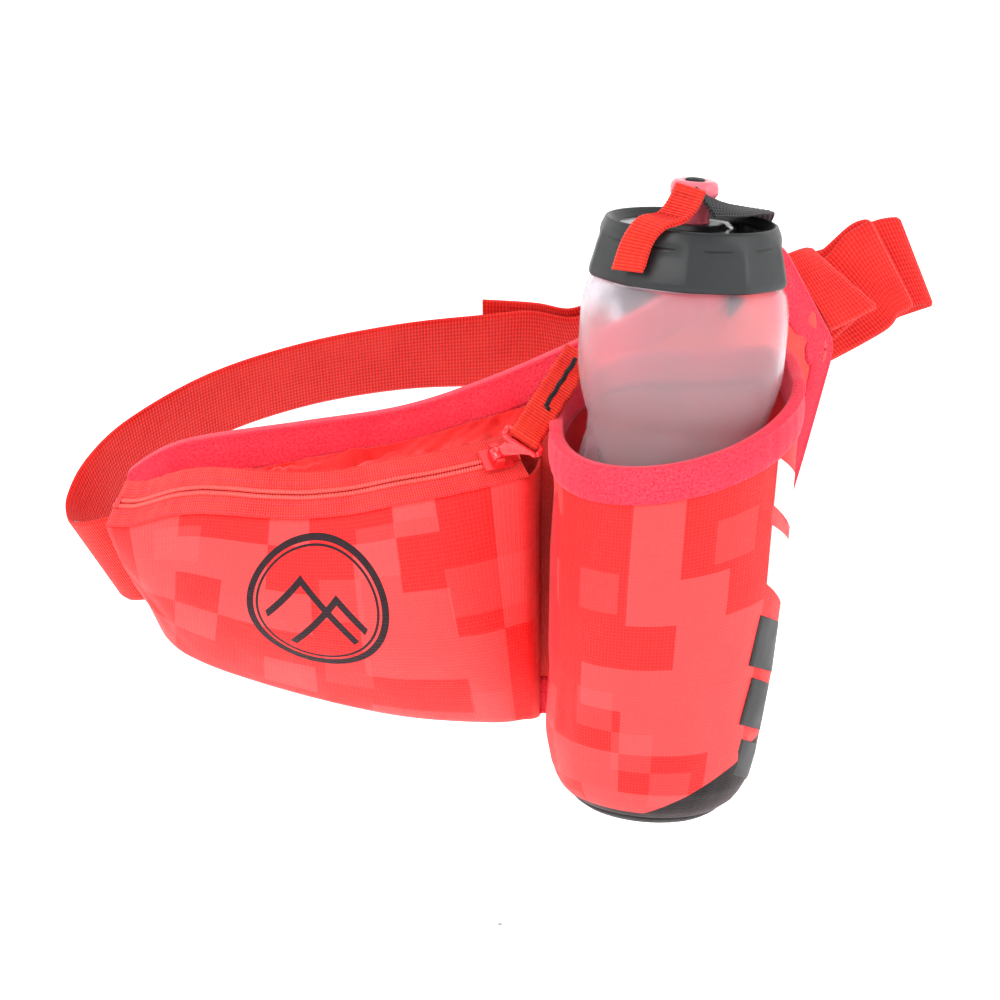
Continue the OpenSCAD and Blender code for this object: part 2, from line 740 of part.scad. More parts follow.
// Sprung arm: root pin, slim blade and a thumb pad that fills the side window
module buckle_arm(side) {
    half = 3.4;
    color("black") placed() buckle_frame() {
        translate([arm_pin_x, -half, side * arm_pin_z]) rotate([-90, 0, 0])
            cylinder(h = 2 * half, r = 2.6, $fn = 48);
        rotate([90, 0, 0]) translate([0, 0, -half])
            linear_extrude(2 * half)
                polygon([[arm_pin_x, side * (arm_pin_z - 1.8)], [4, side * 13],
                         [14, side * 12.4], [18.6, side * 15], [18.6, side * 17],
                         [15, side * 21.6], [2, side * 21.9], [1, side * 16.4],
                         [arm_pin_x, side * (arm_pin_z + 1.8)]]);
    }
}

module buckle_arm_upper() {
    buckle_arm(1);
}

module buckle_arm_lower() {
    buckle_arm(-1);
}

panel_face();
panel_foam();
panel_mesh();
panel_binding();
pocket_front();
pocket_gusset();
zip_tape_lower();
zip_tape_upper();
zip_coil_lower();
zip_coil_upper();
zip_end_stops();
zip_slider();
zip_pull();
zip_pull_tab();
bottle_sleeve();
sleeve_lining();
sleeve_binding();
sleeve_base();
bottle_body();
cap_seal();
bottle_cap();
spout();
spout_valve();
retention_anchor();
retention_elastic();
retention_tab();
belt_strap_left();
reflective_stripe();
belt_strap_right();
strap_keeper();
buckle_female();
buckle_male();
buckle_arm_upper();
buckle_arm_lower();
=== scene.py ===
"""Looks of the waist pack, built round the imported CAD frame. Mesh lengths are millimetres in the CAD's layout, and
row() turns them into the frame's metres. Material lengths are metres."""

import math

import bpy
import numpy as np
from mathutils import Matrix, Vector, noise


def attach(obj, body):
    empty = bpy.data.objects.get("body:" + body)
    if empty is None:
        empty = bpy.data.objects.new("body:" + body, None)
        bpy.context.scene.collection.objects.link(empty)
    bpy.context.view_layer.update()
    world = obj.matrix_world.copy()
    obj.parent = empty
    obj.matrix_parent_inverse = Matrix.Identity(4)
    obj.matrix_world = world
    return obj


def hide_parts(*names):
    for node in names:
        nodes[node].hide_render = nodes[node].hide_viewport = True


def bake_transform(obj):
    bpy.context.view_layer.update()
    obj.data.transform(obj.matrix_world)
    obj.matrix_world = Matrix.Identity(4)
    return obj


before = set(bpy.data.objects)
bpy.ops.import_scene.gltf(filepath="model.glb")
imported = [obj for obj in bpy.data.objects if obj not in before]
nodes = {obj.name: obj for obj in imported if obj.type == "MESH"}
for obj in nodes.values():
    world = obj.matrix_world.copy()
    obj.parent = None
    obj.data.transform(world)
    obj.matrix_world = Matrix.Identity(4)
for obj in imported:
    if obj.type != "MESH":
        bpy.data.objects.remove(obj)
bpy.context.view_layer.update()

WAIST_CENTRE = np.array([-10.0, 50.0, 110.0])
RIGHT, BACK, UP = np.eye(3)


# ---- Vectors and curves ----

def row(points):
    return (np.asarray(points, float) - WAIST_CENTRE) / 1000


def unit(v):
    v = np.asarray(v, float)
    return v / np.maximum(np.linalg.norm(v, axis=-1, keepdims=True), 1e-9)


def mix(a, b, t):
    return a + (b - a) * t


def smooth(t):
    t = np.clip(t, 0, 1)
    return t * t * (3 - 2 * t)


def spin(axis, degrees):
    c, s = math.cos(math.radians(degrees)), math.sin(math.radians(degrees))
    x, y, z = axis
    k = np.array([[0, -z, y], [z, 0, -x], [-y, x, 0]])
    return np.eye(3) + s * k + (1 - c) * (k @ k)


def turn(angles):
    return spin(UP, angles[2]) @ spin(BACK, angles[1]) @ spin(RIGHT, angles[0])


def curve(points, t):
    """Catmull-Rom through the points, at each t from 0 to 1."""
    p = np.asarray(points, float)
    last = len(p) - 1
    t = np.atleast_1d(np.asarray(t, float))
    i = np.minimum(np.floor(t * last).astype(int), last - 1)
    f = (t * last - i)[:, None]
    a, b, c, d = p[np.maximum(i - 1, 0)], p[i], p[i + 1], p[np.minimum(i + 2, last)]
    return (2 * b + (c - a) * f + (2 * a - 5 * b + 4 * c - d) * f ** 2
            + (3 * b - a - 3 * c + d) * f ** 3) / 2


def table(pairs, x):
    """Smooth function through (x, y) pairs."""
    xs, ys = zip(*pairs)
    fine = np.linspace(xs[0], xs[-1], 400)
    width = (xs[-1] - xs[0]) / 60
    kernel = np.exp(-0.5 * ((fine[:, None] - fine[None]) / width) ** 2)
    kernel /= kernel.sum(1, keepdims=True)
    return np.interp(x, fine, kernel @ np.interp(fine, xs, ys))


def noise_at(points, scale, seed=0.0):
    """Signed noise at each point, with features about scale millimetres across."""
    flat = np.asarray(points, float).reshape(-1, 3) / scale + seed
    return np.array([noise.noise(Vector(p)) for p in flat]).reshape(np.shape(points)[:-1])


def lengths(p, axis):
    """Mean distance along one axis of a grid of points."""
    d = np.linalg.norm(np.diff(p, axis=axis), axis=-1).mean(axis=1 - axis)
    return np.concatenate([[0], np.cumsum(d)])


# ---- Meshes ----

def mesh_piece(name, points, faces, body, material, uv=None, replaced=(), slot=None):
    mesh = bpy.data.meshes.new(name)
    mesh.from_pydata(row(points).tolist(), [], faces)
    if uv is not None:
        layer = mesh.uv_layers.new(name="UVMap")
        layer.data.foreach_set("uv", (uv / 1000).astype(np.float32).ravel())
    mesh.polygons.foreach_set("use_smooth", [True] * len(mesh.polygons))
    mesh.materials.append(material)
    mesh.update()
    piece = bpy.data.objects.new(name, mesh)
    bpy.context.scene.collection.objects.link(piece)
    if replaced:
        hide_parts(*replaced)
    if body:
        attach(piece, body)
    return piece


def grid_faces(rows, cols, wrap_rows=False, wrap_cols=False, flip=False):
    i = np.arange(rows if wrap_rows else rows - 1)
    j = np.arange(cols if wrap_cols else cols - 1)
    i, j = [x.ravel() for x in np.meshgrid(i, j, indexing="ij")]
    i2, j2 = (i + 1) % rows, (j + 1) % cols
    quads = np.stack([i * cols + j, i * cols + j2, i2 * cols + j2, i2 * cols + j], 1)
    spots = np.stack([i, j, i, j + 1, i + 1, j + 1, i + 1, j], 1).reshape(-1, 4, 2)
    if flip:
        quads, spots = quads[:, ::-1], spots[:, ::-1]
    return quads, spots


def inside_out(points, faces):
    """Whether a closed mesh has its faces turned inwards."""
    p = np.asarray(points, float)
    p = p - p.mean(0)
    return sum(np.dot(p[f[0]], np.cross(p[f[k]], p[f[k + 1]]))
               for f in faces for k in range(1, len(f) - 1)) < 0


def grid_uv(spots, u, v):
    """Corner UVs in millimetres. u and v hold one more value than the rows or columns where the grid wraps."""
    return np.stack([u[spots[..., 0]], v[spots[..., 1]]], -1).reshape(-1, 2)


def sheet_piece(name, p, body, material, out, wrap_cols=False, thick=0.0, inward=1, uv=None, **words):
    """A grid of points as one sheet of cloth whose face looks along out, thickened by a modifier."""
    rows, cols = p.shape[:2]
    face = np.cross(p[1:, :-1] - p[:-1, :-1], p[:-1, 1:] - p[:-1, :-1])
    out = np.broadcast_to(out, p.shape)[:-1, :-1]
    quads, spots = grid_faces(rows, cols, wrap_cols=wrap_cols, flip=(face * out).sum() > 0)
    u = lengths(p, 0)
    v = lengths(p, 1)
    if wrap_cols:
        v = np.append(v, v[-1] + np.linalg.norm(p[:, -1] - p[:, 0], axis=-1).mean())
    if uv:
        u, v = uv
    piece = mesh_piece(name, p.reshape(-1, 3), quads.tolist(), body, material, grid_uv(spots, u, v), **words)
    if thick:
        modifier = piece.modifiers.new("Thickness", "SOLIDIFY")
        modifier.thickness = thick / 1000
        modifier.offset = -inward
    return piece


def loft_piece(name, p, body, material, loop=False, **words):
    """Closed profiles, one at each station, joined into a solid."""
    rows, cols = p.shape[:2]
    quads, spots = grid_faces(rows, cols, wrap_rows=loop, wrap_cols=True)
    u = lengths(p, 0)
    v = lengths(p, 1)
    if loop:
        u = np.append(u, u[-1] + np.linalg.norm(p[-1] - p[0], axis=-1).mean())
    v = np.append(v, v[-1] + np.linalg.norm(p[:, -1] - p[:, 0], axis=-1).mean())
    faces = quads.tolist()
    uv = [grid_uv(spots, u, v)]
    if not loop:
        for k, order in ((0, range(cols)[::-1]), (rows - 1, range(cols))):
            faces.append([k * cols + j for j in order])
            uv.append(np.array([[u[k], v[j]] for j in order]))
    uv = np.concatenate(uv)
    points = p.reshape(-1, 3)
    if inside_out(points, faces):
        ends = np.cumsum([len(f) for f in faces])
        uv = np.concatenate([uv[b - len(f):b][::-1] for f, b in zip(faces, ends)])
        faces = [f[::-1] for f in faces]
    return mesh_piece(name, points, faces, body, material, uv, **words)


def revolve_piece(name, outline, body, material, steps=96, place=None, **words):
    """A closed outline of (radius, height) pairs turned round the Z axis, then moved by place."""
    a = np.linspace(0, 2 * math.pi, steps, endpoint=False)
    r, h = np.asarray(outline, float).T
    p = np.stack([np.cos(a)[:, None] * r, np.sin(a)[:, None] * r, np.ones_like(a)[:, None] * h], -1)
    return loft_piece(name, place(p), body, material, loop=True, **words)


def joined(name, parts, body, material, **words):
    """Small solids, each (points, faces), as one piece."""
    points, faces, base = [], [], 0
    for p, f in parts:
        f = [face[::-1] for face in f] if inside_out(p, f) else f
        points.append(p)
        faces += [[i + base for i in face] for face in f]
        base += len(p)
    return mesh_piece(name, np.concatenate(points), faces, body, material, **words)


def bead(centre, along, across, out, length, width, height, sides=6, rings=5):
    """One stitch or tooth: a rounded grain, flat underneath."""
    k = np.linspace(0, math.pi, rings)
    a = np.linspace(0, 2 * math.pi, sides, endpoint=False)
    x = -np.cos(k) * length / 2
    r = np.maximum(np.sin(k), 0.05) ** 0.7
    p = (centre + x[:, None, None] * along
         + (r[:, None] * np.cos(a))[..., None] * across * width / 2
         + (r[:, None] * np.sin(a))[..., None] * out * height / 2)
    quads, _ = grid_faces(rings, sides, wrap_cols=True)
    return p.reshape(-1, 3), quads.tolist()


def stitch_line(path, out, pitch, length, width=0.5, height=0.4, zigzag=0.0, skip=0.0):
    """Stitches along a path of points, with the surface's outward direction at each."""
    path, out = np.asarray(path, float), unit(out)
    d = np.concatenate([[0], np.cumsum(np.linalg.norm(np.diff(path, axis=0), axis=1))])
    parts = []
    for i, s in enumerate(np.arange(pitch / 2 + skip, d[-1] - pitch / 2 - skip, pitch)):
        at = np.array([np.interp(s, d, path[:, k]) for k in range(3)])
        ahead = np.array([np.interp(s + 0.5, d, path[:, k]) for k in range(3)])
        o = unit(np.array([np.interp(s, d, out[:, k]) for k in range(3)]))
        along = unit(ahead - at)
        across = unit(np.cross(o, along))
        lean = unit(along + across * zigzag * (1 if i % 2 else -1))
        parts.append(bead(at, lean, unit(np.cross(o, lean)), o, length, width, height))
    return parts


def strap_stations(top, across, steps, t0=0.0, t1=1.0):
    """Upper edge points, directions across the width, normals and directions along a strap."""
    t = np.linspace(t0, t1, steps)
    w = unit(curve(across, t))
    start = curve(top, t)
    along = unit(curve(top, np.minimum(t + 0.002, 1)) - curve(top, np.maximum(t - 0.002, 0)))
    return start, w, unit(np.cross(along, w)), along


def ribbon(width, thick, cols, ribs=0, rib_depth=0.0):
    """Closed profile of a strap: (across, through) pairs, with lengthwise ribs if asked."""
    x = np.linspace(0, 1, cols)
    edge = np.minimum(1, np.sin(np.clip(x * width / (0.5 * thick), 0, 1) * math.pi / 2) + 0.15)
    edge = np.minimum(edge, edge[::-1])
    rib = rib_depth * (np.cos(x * ribs * 2 * math.pi) - 1) / 2 if ribs else 0 * x
    lift = edge * thick / 2 + rib * edge
    a = np.column_stack([x * width, lift])
    b = np.column_stack([x * width, -lift])[::-1][1:-1]
    return np.concatenate([a, b])


def strap_points(stations, profile):
    start, w, normal, _ = stations
    return start[:, None] + w[:, None] * profile[None, :, :1] + normal[:, None] * profile[None, :, 1:]


# ---- Materials ----

class Material:
    """A procedural material; its methods add nodes and return sockets."""

    def __init__(self, name, colour=(0.5, 0.5, 0.5), roughness=0.6, **sockets):
        self.material = bpy.data.materials.new(name)
        self.material.use_nodes = True
        self.tree = self.material.node_tree
        self.shader = next(n for n in self.tree.nodes if n.type == "BSDF_PRINCIPLED")
        self.shader.inputs["Base Color"].default_value = (*colour, 1)
        self.shader.inputs["Roughness"].default_value = roughness
        self.shader.inputs["Specular IOR Level"].default_value = 0.22
        for key, value in sockets.items():
            self.shader.inputs[key.replace("_", " ")].default_value = value

    def node(self, kind, inputs=(), output=0, **settings):
        made = self.tree.nodes.new(kind)
        for key, value in settings.items():
            setattr(made, key, value)
        for key, value in dict(inputs).items():
            if isinstance(value, bpy.types.NodeSocket):
                self.tree.links.new(value, made.inputs[key])
            else:
                made.inputs[key].default_value = value
        return made.outputs[output]

    def math(self, operation, a, b=0.0, c=0.0):
        return self.node("ShaderNodeMath", {0: a, 1: b, 2: c}, operation=operation)

    def coordinate(self, kind="UV"):
        return self.node("ShaderNodeTexCoord", output=("Generated", "Normal", "UV", "Object").index(kind))

    def axes(self, vector):
        split = self.tree.nodes.new("ShaderNodeSeparateXYZ")
        self.tree.links.new(vector, split.inputs[0])
        return split.outputs

    def noise(self, vector, size, detail=3.0, roughness=0.55):
        return self.node("ShaderNodeTexNoise", {"Vector": vector, "Scale": 1 / size, "Detail": detail,
                                                "Roughness": roughness})

    def wave(self, value, pitch, phase=0.0):
        """0 to 1 ripple along a coordinate in metres."""
        s = self.math("SINE", self.math("MULTIPLY_ADD", value, 2 * math.pi / pitch, phase))
        return self.math("MULTIPLY_ADD", s, 0.5, 0.5)

    def blend(self, factor, a, b):
        a = (*a, 1) if isinstance(a, tuple) else a
        b = (*b, 1) if isinstance(b, tuple) else b
        return self.node("ShaderNodeMix", {0: factor, 6: a, 7: b}, output=2, data_type="RGBA")

    def ramp(self, value, low, high, out_low=0.0, out_high=1.0):
        return self.node("ShaderNodeMapRange", {0: value, 1: low, 2: high, 3: out_low, 4: out_high})

    def colour(self, socket):
        self.tree.links.new(socket, self.shader.inputs["Base Color"])

    def roughness(self, socket):
        self.tree.links.new(socket, self.shader.inputs["Roughness"])

    def bump(self, height, depth, strength=1.0):
        normal = self.node("ShaderNodeBump", {"Height": height, "Distance": depth, "Strength": strength})
        self.tree.links.new(normal, self.shader.inputs["Normal"])


def scaled(colour, k):
    return tuple(min(c * k, 1.0) for c in colour)


CORAL = (0.93, 0.012, 0.012)
CORAL_PALE = (0.95, 0.075, 0.075)
PINK = (0.90, 0.014, 0.045)
WEBBING = (0.94, 0.013, 0.008)
ORANGE = (0.94, 0.016, 0.006)
BLACK = (0.004, 0.004, 0.005)
SQUARE, RIPSTOP_GRID, CLOTH_WEAVE = 0.0175, 0.0013, 0.00055


def ripstop(name, shift, foot=None, badge=None):
    """Ripstop cloth: fine grid threads, lighter translucent squares, and soft tonal variation."""
    m = Material(name, CORAL, 0.52, Sheen_Weight=0.12, Sheen_Roughness=0.4)
    m.shader.inputs["Sheen Tint"].default_value = (1.0, 0.6, 0.58, 1)
    uv = m.coordinate()
    u, v, _ = m.axes(uv)
    base = m.blend(m.ramp(m.noise(uv, 0.05), 0.35, 0.65), scaled(CORAL, 0.9), scaled(CORAL, 1.06))
    tone = None
    for size, chance, k in ((SQUARE, 0.62, 0.0), (SQUARE * 0.92, 0.74, 7.3)):
        cu = m.math("FLOOR", m.math("MULTIPLY_ADD", u, 1 / size, shift[0] + k))
        cv = m.math("FLOOR", m.math("MULTIPLY_ADD", v, 1 / size, shift[1] + k))
        spot = m.node("ShaderNodeCombineXYZ", {0: cu, 1: cv, 2: k})
        lit = m.node("ShaderNodeTexWhiteNoise", {"Vector": spot}, noise_dimensions="3D")
        on = m.math("GREATER_THAN", lit, chance)
        tone = on if tone is None else m.math("ADD", tone, m.math("MULTIPLY", on, 0.55))
    tone = m.math("MINIMUM", tone, 1.3)
    base = m.blend(m.math("MULTIPLY", tone, 0.70), base, CORAL_PALE)
    threads = m.math("MAXIMUM", *[m.math("POWER", m.wave(x, RIPSTOP_GRID), 6.0) for x in (u, v)])
    base = m.blend(m.math("MULTIPLY", threads, 0.20), base, CORAL_PALE)
    if foot:
        low, lean, middle = foot
        edge = m.math("COSINE", m.math("MULTIPLY_ADD", v, 2 * math.pi / middle[1], -middle[0]))
        edge = m.math("MULTIPLY_ADD", m.math("MAXIMUM", edge, 0.0), lean, low)
        base = m.blend(m.math("GREATER_THAN", u, edge), BLACK, base)
    if badge:
        base = badge_art(m, u, v, badge, base)
    m.colour(base)
    weave = m.math("ADD", *[m.math("MULTIPLY", m.wave(x, CLOTH_WEAVE), 0.25) for x in (u, v)])
    height = m.math("ADD", m.math("MULTIPLY", threads, 0.5), weave)
    height = m.math("ADD", height, m.math("MULTIPLY", m.noise(uv, 0.006), 1.1))
    m.bump(height, 0.00022, 0.8)
    m.roughness(m.ramp(m.noise(uv, 0.02), 0.3, 0.7, 0.44, 0.6))
    return m.material


def ridged(name, colour, light, dark, pitch_u, pitch_v, depth, rough=0.62, across=0.5, sheen=0.1, fuzz=0.0):
    """Webbing, grosgrain and tape: cross ribs along u, softer cords along v, with painted shade in the grooves and a
    painted highlight on the crests.
    """
    m = Material(name, colour, rough, Sheen_Weight=sheen, Sheen_Roughness=0.4)
    uv = m.coordinate()
    u, v, _ = m.axes(uv)
    rib = m.wave(u, pitch_u)
    cord = m.wave(v, pitch_v)
    height = m.math("ADD", rib, m.math("MULTIPLY", cord, across))
    grain = m.noise(uv, 0.0011, 4.0)
    height = m.math("ADD", height, m.math("MULTIPLY", grain, 0.5 + fuzz))
    # Painted shade and highlight: the colour goes to dark in the low parts of the ribs and cords, and towards light on
    # their crests.
    tone = m.ramp(height, 0.45, 1.55 + across * 0.5)
    base = m.blend(tone, dark, colour)
    base = m.blend(m.math("MULTIPLY", m.math("POWER", tone, 3.0), 0.6), base, light)
    # Random tone: broad noise also drifts the colour towards light.
    wide = m.ramp(m.noise(uv, 0.03), 0.35, 0.65, 0.0, 0.22)
    m.colour(m.blend(wide, base, light))
    m.bump(height, depth, 0.9)
    return m.material


def knit(name, colour, light):
    """Brushed stretch binding: tiny loops, fuzz and darker flecks."""
    m = Material(name, colour, 0.8, Sheen_Weight=0.3, Sheen_Roughness=0.35)
    m.shader.inputs["Sheen Tint"].default_value = (1.0, 0.55, 0.62, 1)
    uv = m.coordinate()
    u, v, _ = m.axes(uv)
    fleck = m.noise(uv, 0.0009, 4.0, 0.65)
    loops = m.math("MULTIPLY", m.wave(u, 0.0011), m.wave(v, 0.0009))
    base = m.blend(m.ramp(fleck, 0.35, 0.62), scaled(colour, 0.78), light)
    base = m.blend(m.ramp(m.noise(uv, 0.018), 0.35, 0.7, 0.0, 0.4), base, colour)
    m.colour(base)
    m.bump(m.math("ADD", fleck, m.math("MULTIPLY", loops, 0.6)), 0.00025, 0.9)
    return m.material


def plain_cloth(name, colour, rough=0.55, coordinate="UV", sheen=0.1):
    """Plain fine weave with creases of tone."""
    m = Material(name, colour, rough, Sheen_Weight=sheen, Sheen_Roughness=0.4)
    at = m.coordinate(coordinate)
    x, y, z = m.axes(at)
    side = y if coordinate == "UV" else z
    weave = m.math("MULTIPLY", m.wave(x, 0.0009), m.wave(side, 0.0009))
    m.colour(m.blend(m.ramp(m.noise(at, 0.02), 0.3, 0.7), scaled(colour, 0.82), scaled(colour, 1.1)))
    m.bump(m.math("ADD", weave, m.noise(at, 0.007)), 0.0002, 0.8)
    return m.material


def spacer_mesh(name):
    """Open black mesh on the wearer's side: a field of small holes over foam, with painted shade in the holes."""
    m = Material(name, (0.02, 0.02, 0.022), 0.75, Sheen_Weight=0.2)
    at = m.coordinate("Object")
    x, _, z = m.axes(at)
    spot = m.node("ShaderNodeCombineXYZ", {0: x, 1: m.math("MULTIPLY", z, 0.8)})
    cell = m.node("ShaderNodeTexVoronoi", {"Vector": spot, "Scale": 420.0, "Randomness": 0.25})
    hole = m.ramp(cell, 0.25, 0.55)
    # Painted shade: the holes are coloured black, darker than the mesh round them.
    m.colour(m.blend(hole, BLACK, (0.045, 0.045, 0.05)))
    m.bump(m.math("MULTIPLY", hole, -1.0), 0.0005, 0.9)
    return m.material


def plastic(name, colour, rough, grain=0.0006, depth=0.00004, vary=0.08, **sockets):
    """Moulded plastic: fine grain in the gloss and surface, with a slight drift of tone."""
    m = Material(name, colour, rough, **{"Specular_IOR_Level": 0.45, **sockets})
    at = m.coordinate("Object")
    fine = m.noise(at, grain, 2.0)
    m.colour(m.blend(m.ramp(m.noise(at, 0.03), 0.3, 0.7), scaled(colour, 1 - vary), scaled(colour, 1 + vary)))
    m.roughness(m.ramp(m.noise(at, 0.012, 4.0), 0.3, 0.7, rough * 0.85, min(rough * 1.2, 1)))
    m.bump(fine, depth, 0.6)
    return m.material


def badge_art(m, u, v, centre, base):
    """A plain round badge, its centre in metres: two dark rings round two peaks."""
    x = m.math("ADD", u, -centre[0])
    y = m.math("ADD", v, -centre[1])
    far = m.math("SQRT", m.math("ADD", m.math("MULTIPLY", x, x), m.math("MULTIPLY", y, y)))
    ring = m.math("LESS_THAN", m.math("ABSOLUTE", m.math("ADD", far, -0.0255)), 0.0013)
    thin = m.math("LESS_THAN", m.math("ABSOLUTE", m.math("ADD", far, -0.0228)), 0.0005)
    ink = m.math("MAXIMUM", ring, thin)
    for middle, top in ((-0.0060, 0.0120), (0.0075, 0.0050)):
        slope = m.math("ABSOLUTE", m.math("ADD", x, -middle))
        peak = m.math("ADD", m.math("MULTIPLY", slope, -1.25), top)
        under = m.math("GREATER_THAN", peak, y)
        over = m.math("GREATER_THAN", y, m.math("ADD", peak, -0.0042))
        inside = m.math("LESS_THAN", far, 0.0200)
        ink = m.math("MAXIMUM", ink, m.math("MULTIPLY", m.math("MULTIPLY", under, over), inside))
    return m.blend(ink, base, (0.016, 0.006, 0.010))


pink_knit = knit("pink_knit", PINK, (0.90, 0.060, 0.095))
pink_thread = plain_cloth("pink_thread", (0.80, 0.035, 0.075), 0.5)
coral_thread = plain_cloth("coral_thread", (0.85, 0.05, 0.09), 0.5)
# In each ridged() call, the two colours after the main one are the painted highlight on the crests (also used for
# random tone) and the painted shade in the grooves.
webbing = ridged("coral_webbing", WEBBING, (0.96, 0.050, 0.035), (0.50, 0.002, 0.002), 0.00125, 0.0019, 0.0003)
grosgrain = ridged("orange_grosgrain", ORANGE, (0.95, 0.075, 0.035), (0.48, 0.006, 0.004), 0.00125, 0.0030, 0.00025,
                   across=0.15, fuzz=0.3)
zip_tape = ridged("zip_tape", (0.93, 0.045, 0.040), (0.96, 0.11, 0.10), (0.62, 0.008, 0.008), 0.0009, 0.0011, 0.00018)
zip_nylon = plastic("zip_nylon", (0.88, 0.075, 0.065), 0.38, vary=0.12, Specular_IOR_Level=0.5)
elastic = ridged("black_elastic", (0.007, 0.007, 0.008), (0.030, 0.030, 0.033), (0.002, 0.002, 0.002), 0.0009, 0.0018,
                 0.0002, rough=0.6, sheen=0.15)
black_thread = plain_cloth("black_thread", (0.010, 0.010, 0.012), 0.5)
red_thread = plain_cloth("dark_red_thread", (0.42, 0.010, 0.012), 0.5)
lining_cloth = plain_cloth("lining_cloth", (0.66, 0.010, 0.016), 0.5)
gusset_cloth = plain_cloth("gusset_cloth", (0.88, 0.014, 0.012), 0.42, sheen=0.1)
panel_cloth = plain_cloth("panel_cloth", (0.88, 0.065, 0.055), 0.6, "Object")
back_mesh = spacer_mesh("spacer_mesh")
black_cap = plastic("satin_black", (0.006, 0.007, 0.008), 0.42, vary=0.15)
black_gloss = plastic("gloss_black", (0.004, 0.005, 0.006), 0.16, vary=0.1)
black_acetal = plastic("black_acetal", (0.014, 0.014, 0.016), 0.36, vary=0.15)
black_foot = plastic("black_foot", BLACK, 0.62, grain=0.0012, depth=0.00012, vary=0.2)
red_gloss = plastic("red_gloss", (0.86, 0.020, 0.028), 0.16, vary=0.08, Coat_Weight=0.5)
red_enamel = plastic("red_enamel", (0.80, 0.030, 0.034), 0.22, vary=0.1, Metallic=0.35)
seal_rubber = plastic("seal_rubber", (0.60, 0.60, 0.62), 0.6)
reflective = plastic("reflective_tape", (0.33, 0.36, 0.37), 0.38, grain=0.0004, depth=0.00008, Metallic=0.3)
white_print = plastic("white_print", (0.92, 0.93, 0.94), 0.4, grain=0.0011, depth=0.0001)
grey_print = plastic("grey_print", (0.012, 0.013, 0.014), 0.5, grain=0.0011, depth=0.0001)


# ---- Panel ----

FACE, FOAM, MESH = 1.0, 5.0, 1.2
PANEL_THICK = FACE + FOAM + MESH
PANEL_BINDING, BINDING_THICK, SIM_FRAMES = 14, 0.9, 20
panel_top = [[-139, 15, 103], [-118, 7, 116], [-73, 1, 124.5], [-36, 0, 130.5], [-5, 0, 140.8], [27, 0, 154.8],
             [56, 0, 169.5], [80, 3, 182.5], [95, 8, 191], [104, 13, 187]]
panel_bottom = [[-131, 4, 57], [-117, 0, 45], [-74, 0, 29], [-37, 0, 21], [-5, 0, 17], [27, 0, 15], [60, 0, 18],
                [86, 0, 42], [105.5, 8, 88], [124.5, 26, 150]]


def panel_point(t, v):
    """Points on the panel's outer face; t and v are arrays of one shape."""
    t, v = np.broadcast_arrays(t, v)
    low, high = curve(panel_bottom, t.ravel()), curve(panel_top, t.ravel())
    return mix(low, high, v.ravel()[:, None]).reshape(*t.shape, 3)


def pad_points(steps, rows):
    """The panel as closed profiles from end to end, crowned a little on both faces."""
    t = np.linspace(0.004, 0.996, steps)
    v = np.linspace(0.02, 0.98, rows)
    face = panel_point(t[:, None], v[None])
    crown = np.sin(math.pi * v[None]) ** 0.6 * np.sin(math.pi * t[:, None]) ** 0.3
    front = face + BACK * (1.1 - 0.6 * crown)[..., None]
    back = face + BACK * (PANEL_THICK - 1.3 + 0.6 * crown)[..., None]
    return np.concatenate([front, back[:, ::-1]], 1)


def inflate(piece, pressure, cap):
    """Puffs a pad with a short cloth simulation. No point moves more than cap metres."""
    copy = piece.copy()
    copy.data = piece.data.copy()
    copy.parent = None
    bpy.context.scene.collection.objects.link(copy)
    start = np.array([v.co for v in copy.data.vertices])
    cloth = copy.modifiers.new("Cloth", "CLOTH")
    cloth.settings.use_pressure = True
    cloth.settings.uniform_pressure_force = pressure
    cloth.settings.effector_weights.gravity = 0
    cloth.settings.tension_stiffness = 20
    cloth.settings.bending_stiffness = 0.6
    cloth.point_cache.frame_end = SIM_FRAMES
    for f in range(1, SIM_FRAMES + 1):
        bpy.context.scene.frame_set(f)
    shape = copy.evaluated_get(bpy.context.evaluated_depsgraph_get()).to_mesh()
    end = np.array([v.co for v in shape.vertices])
    bpy.data.objects.remove(copy)
    bpy.context.scene.frame_set(1)
    move = end - start
    size = np.linalg.norm(move, axis=1, keepdims=True)
    move *= np.minimum(1, cap / np.maximum(size, 1e-9))
    piece.data.vertices.foreach_set("co", (start + move).astype(np.float32).ravel())
    piece.data.update()


pad = loft_piece("panel_pad", pad_points(90, 26), None, panel_cloth,
                 replaced=("panel_face", "panel_foam", "panel_mesh"), slot="coral_ripstop")
remesh = pad.modifiers.new("Remesh", "REMESH")
remesh.mode = "VOXEL"
remesh.voxel_size = 0.0035
whole = bpy.data.meshes.new_from_object(pad.evaluated_get(bpy.context.evaluated_depsgraph_get()))
pad.modifiers.clear()
pad.data = whole
inflate(pad, pressure=3.0, cap=0.0014)
pad.data.materials.clear()
pad.data.materials.append(panel_cloth)
pad.data.materials.append(back_mesh)
pad.data.polygons.foreach_set("material_index", [1 if p.normal.y > 0.3 else 0 for p in pad.data.polygons])
pad.data.polygons.foreach_set("use_smooth", [True] * len(pad.data.polygons))
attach(pad, "pack")


def rolled(values, times):
    for _ in range(times):
        values = (np.roll(values, 1, 0) + 2 * values + np.roll(values, -1, 0)) / 4
    return values


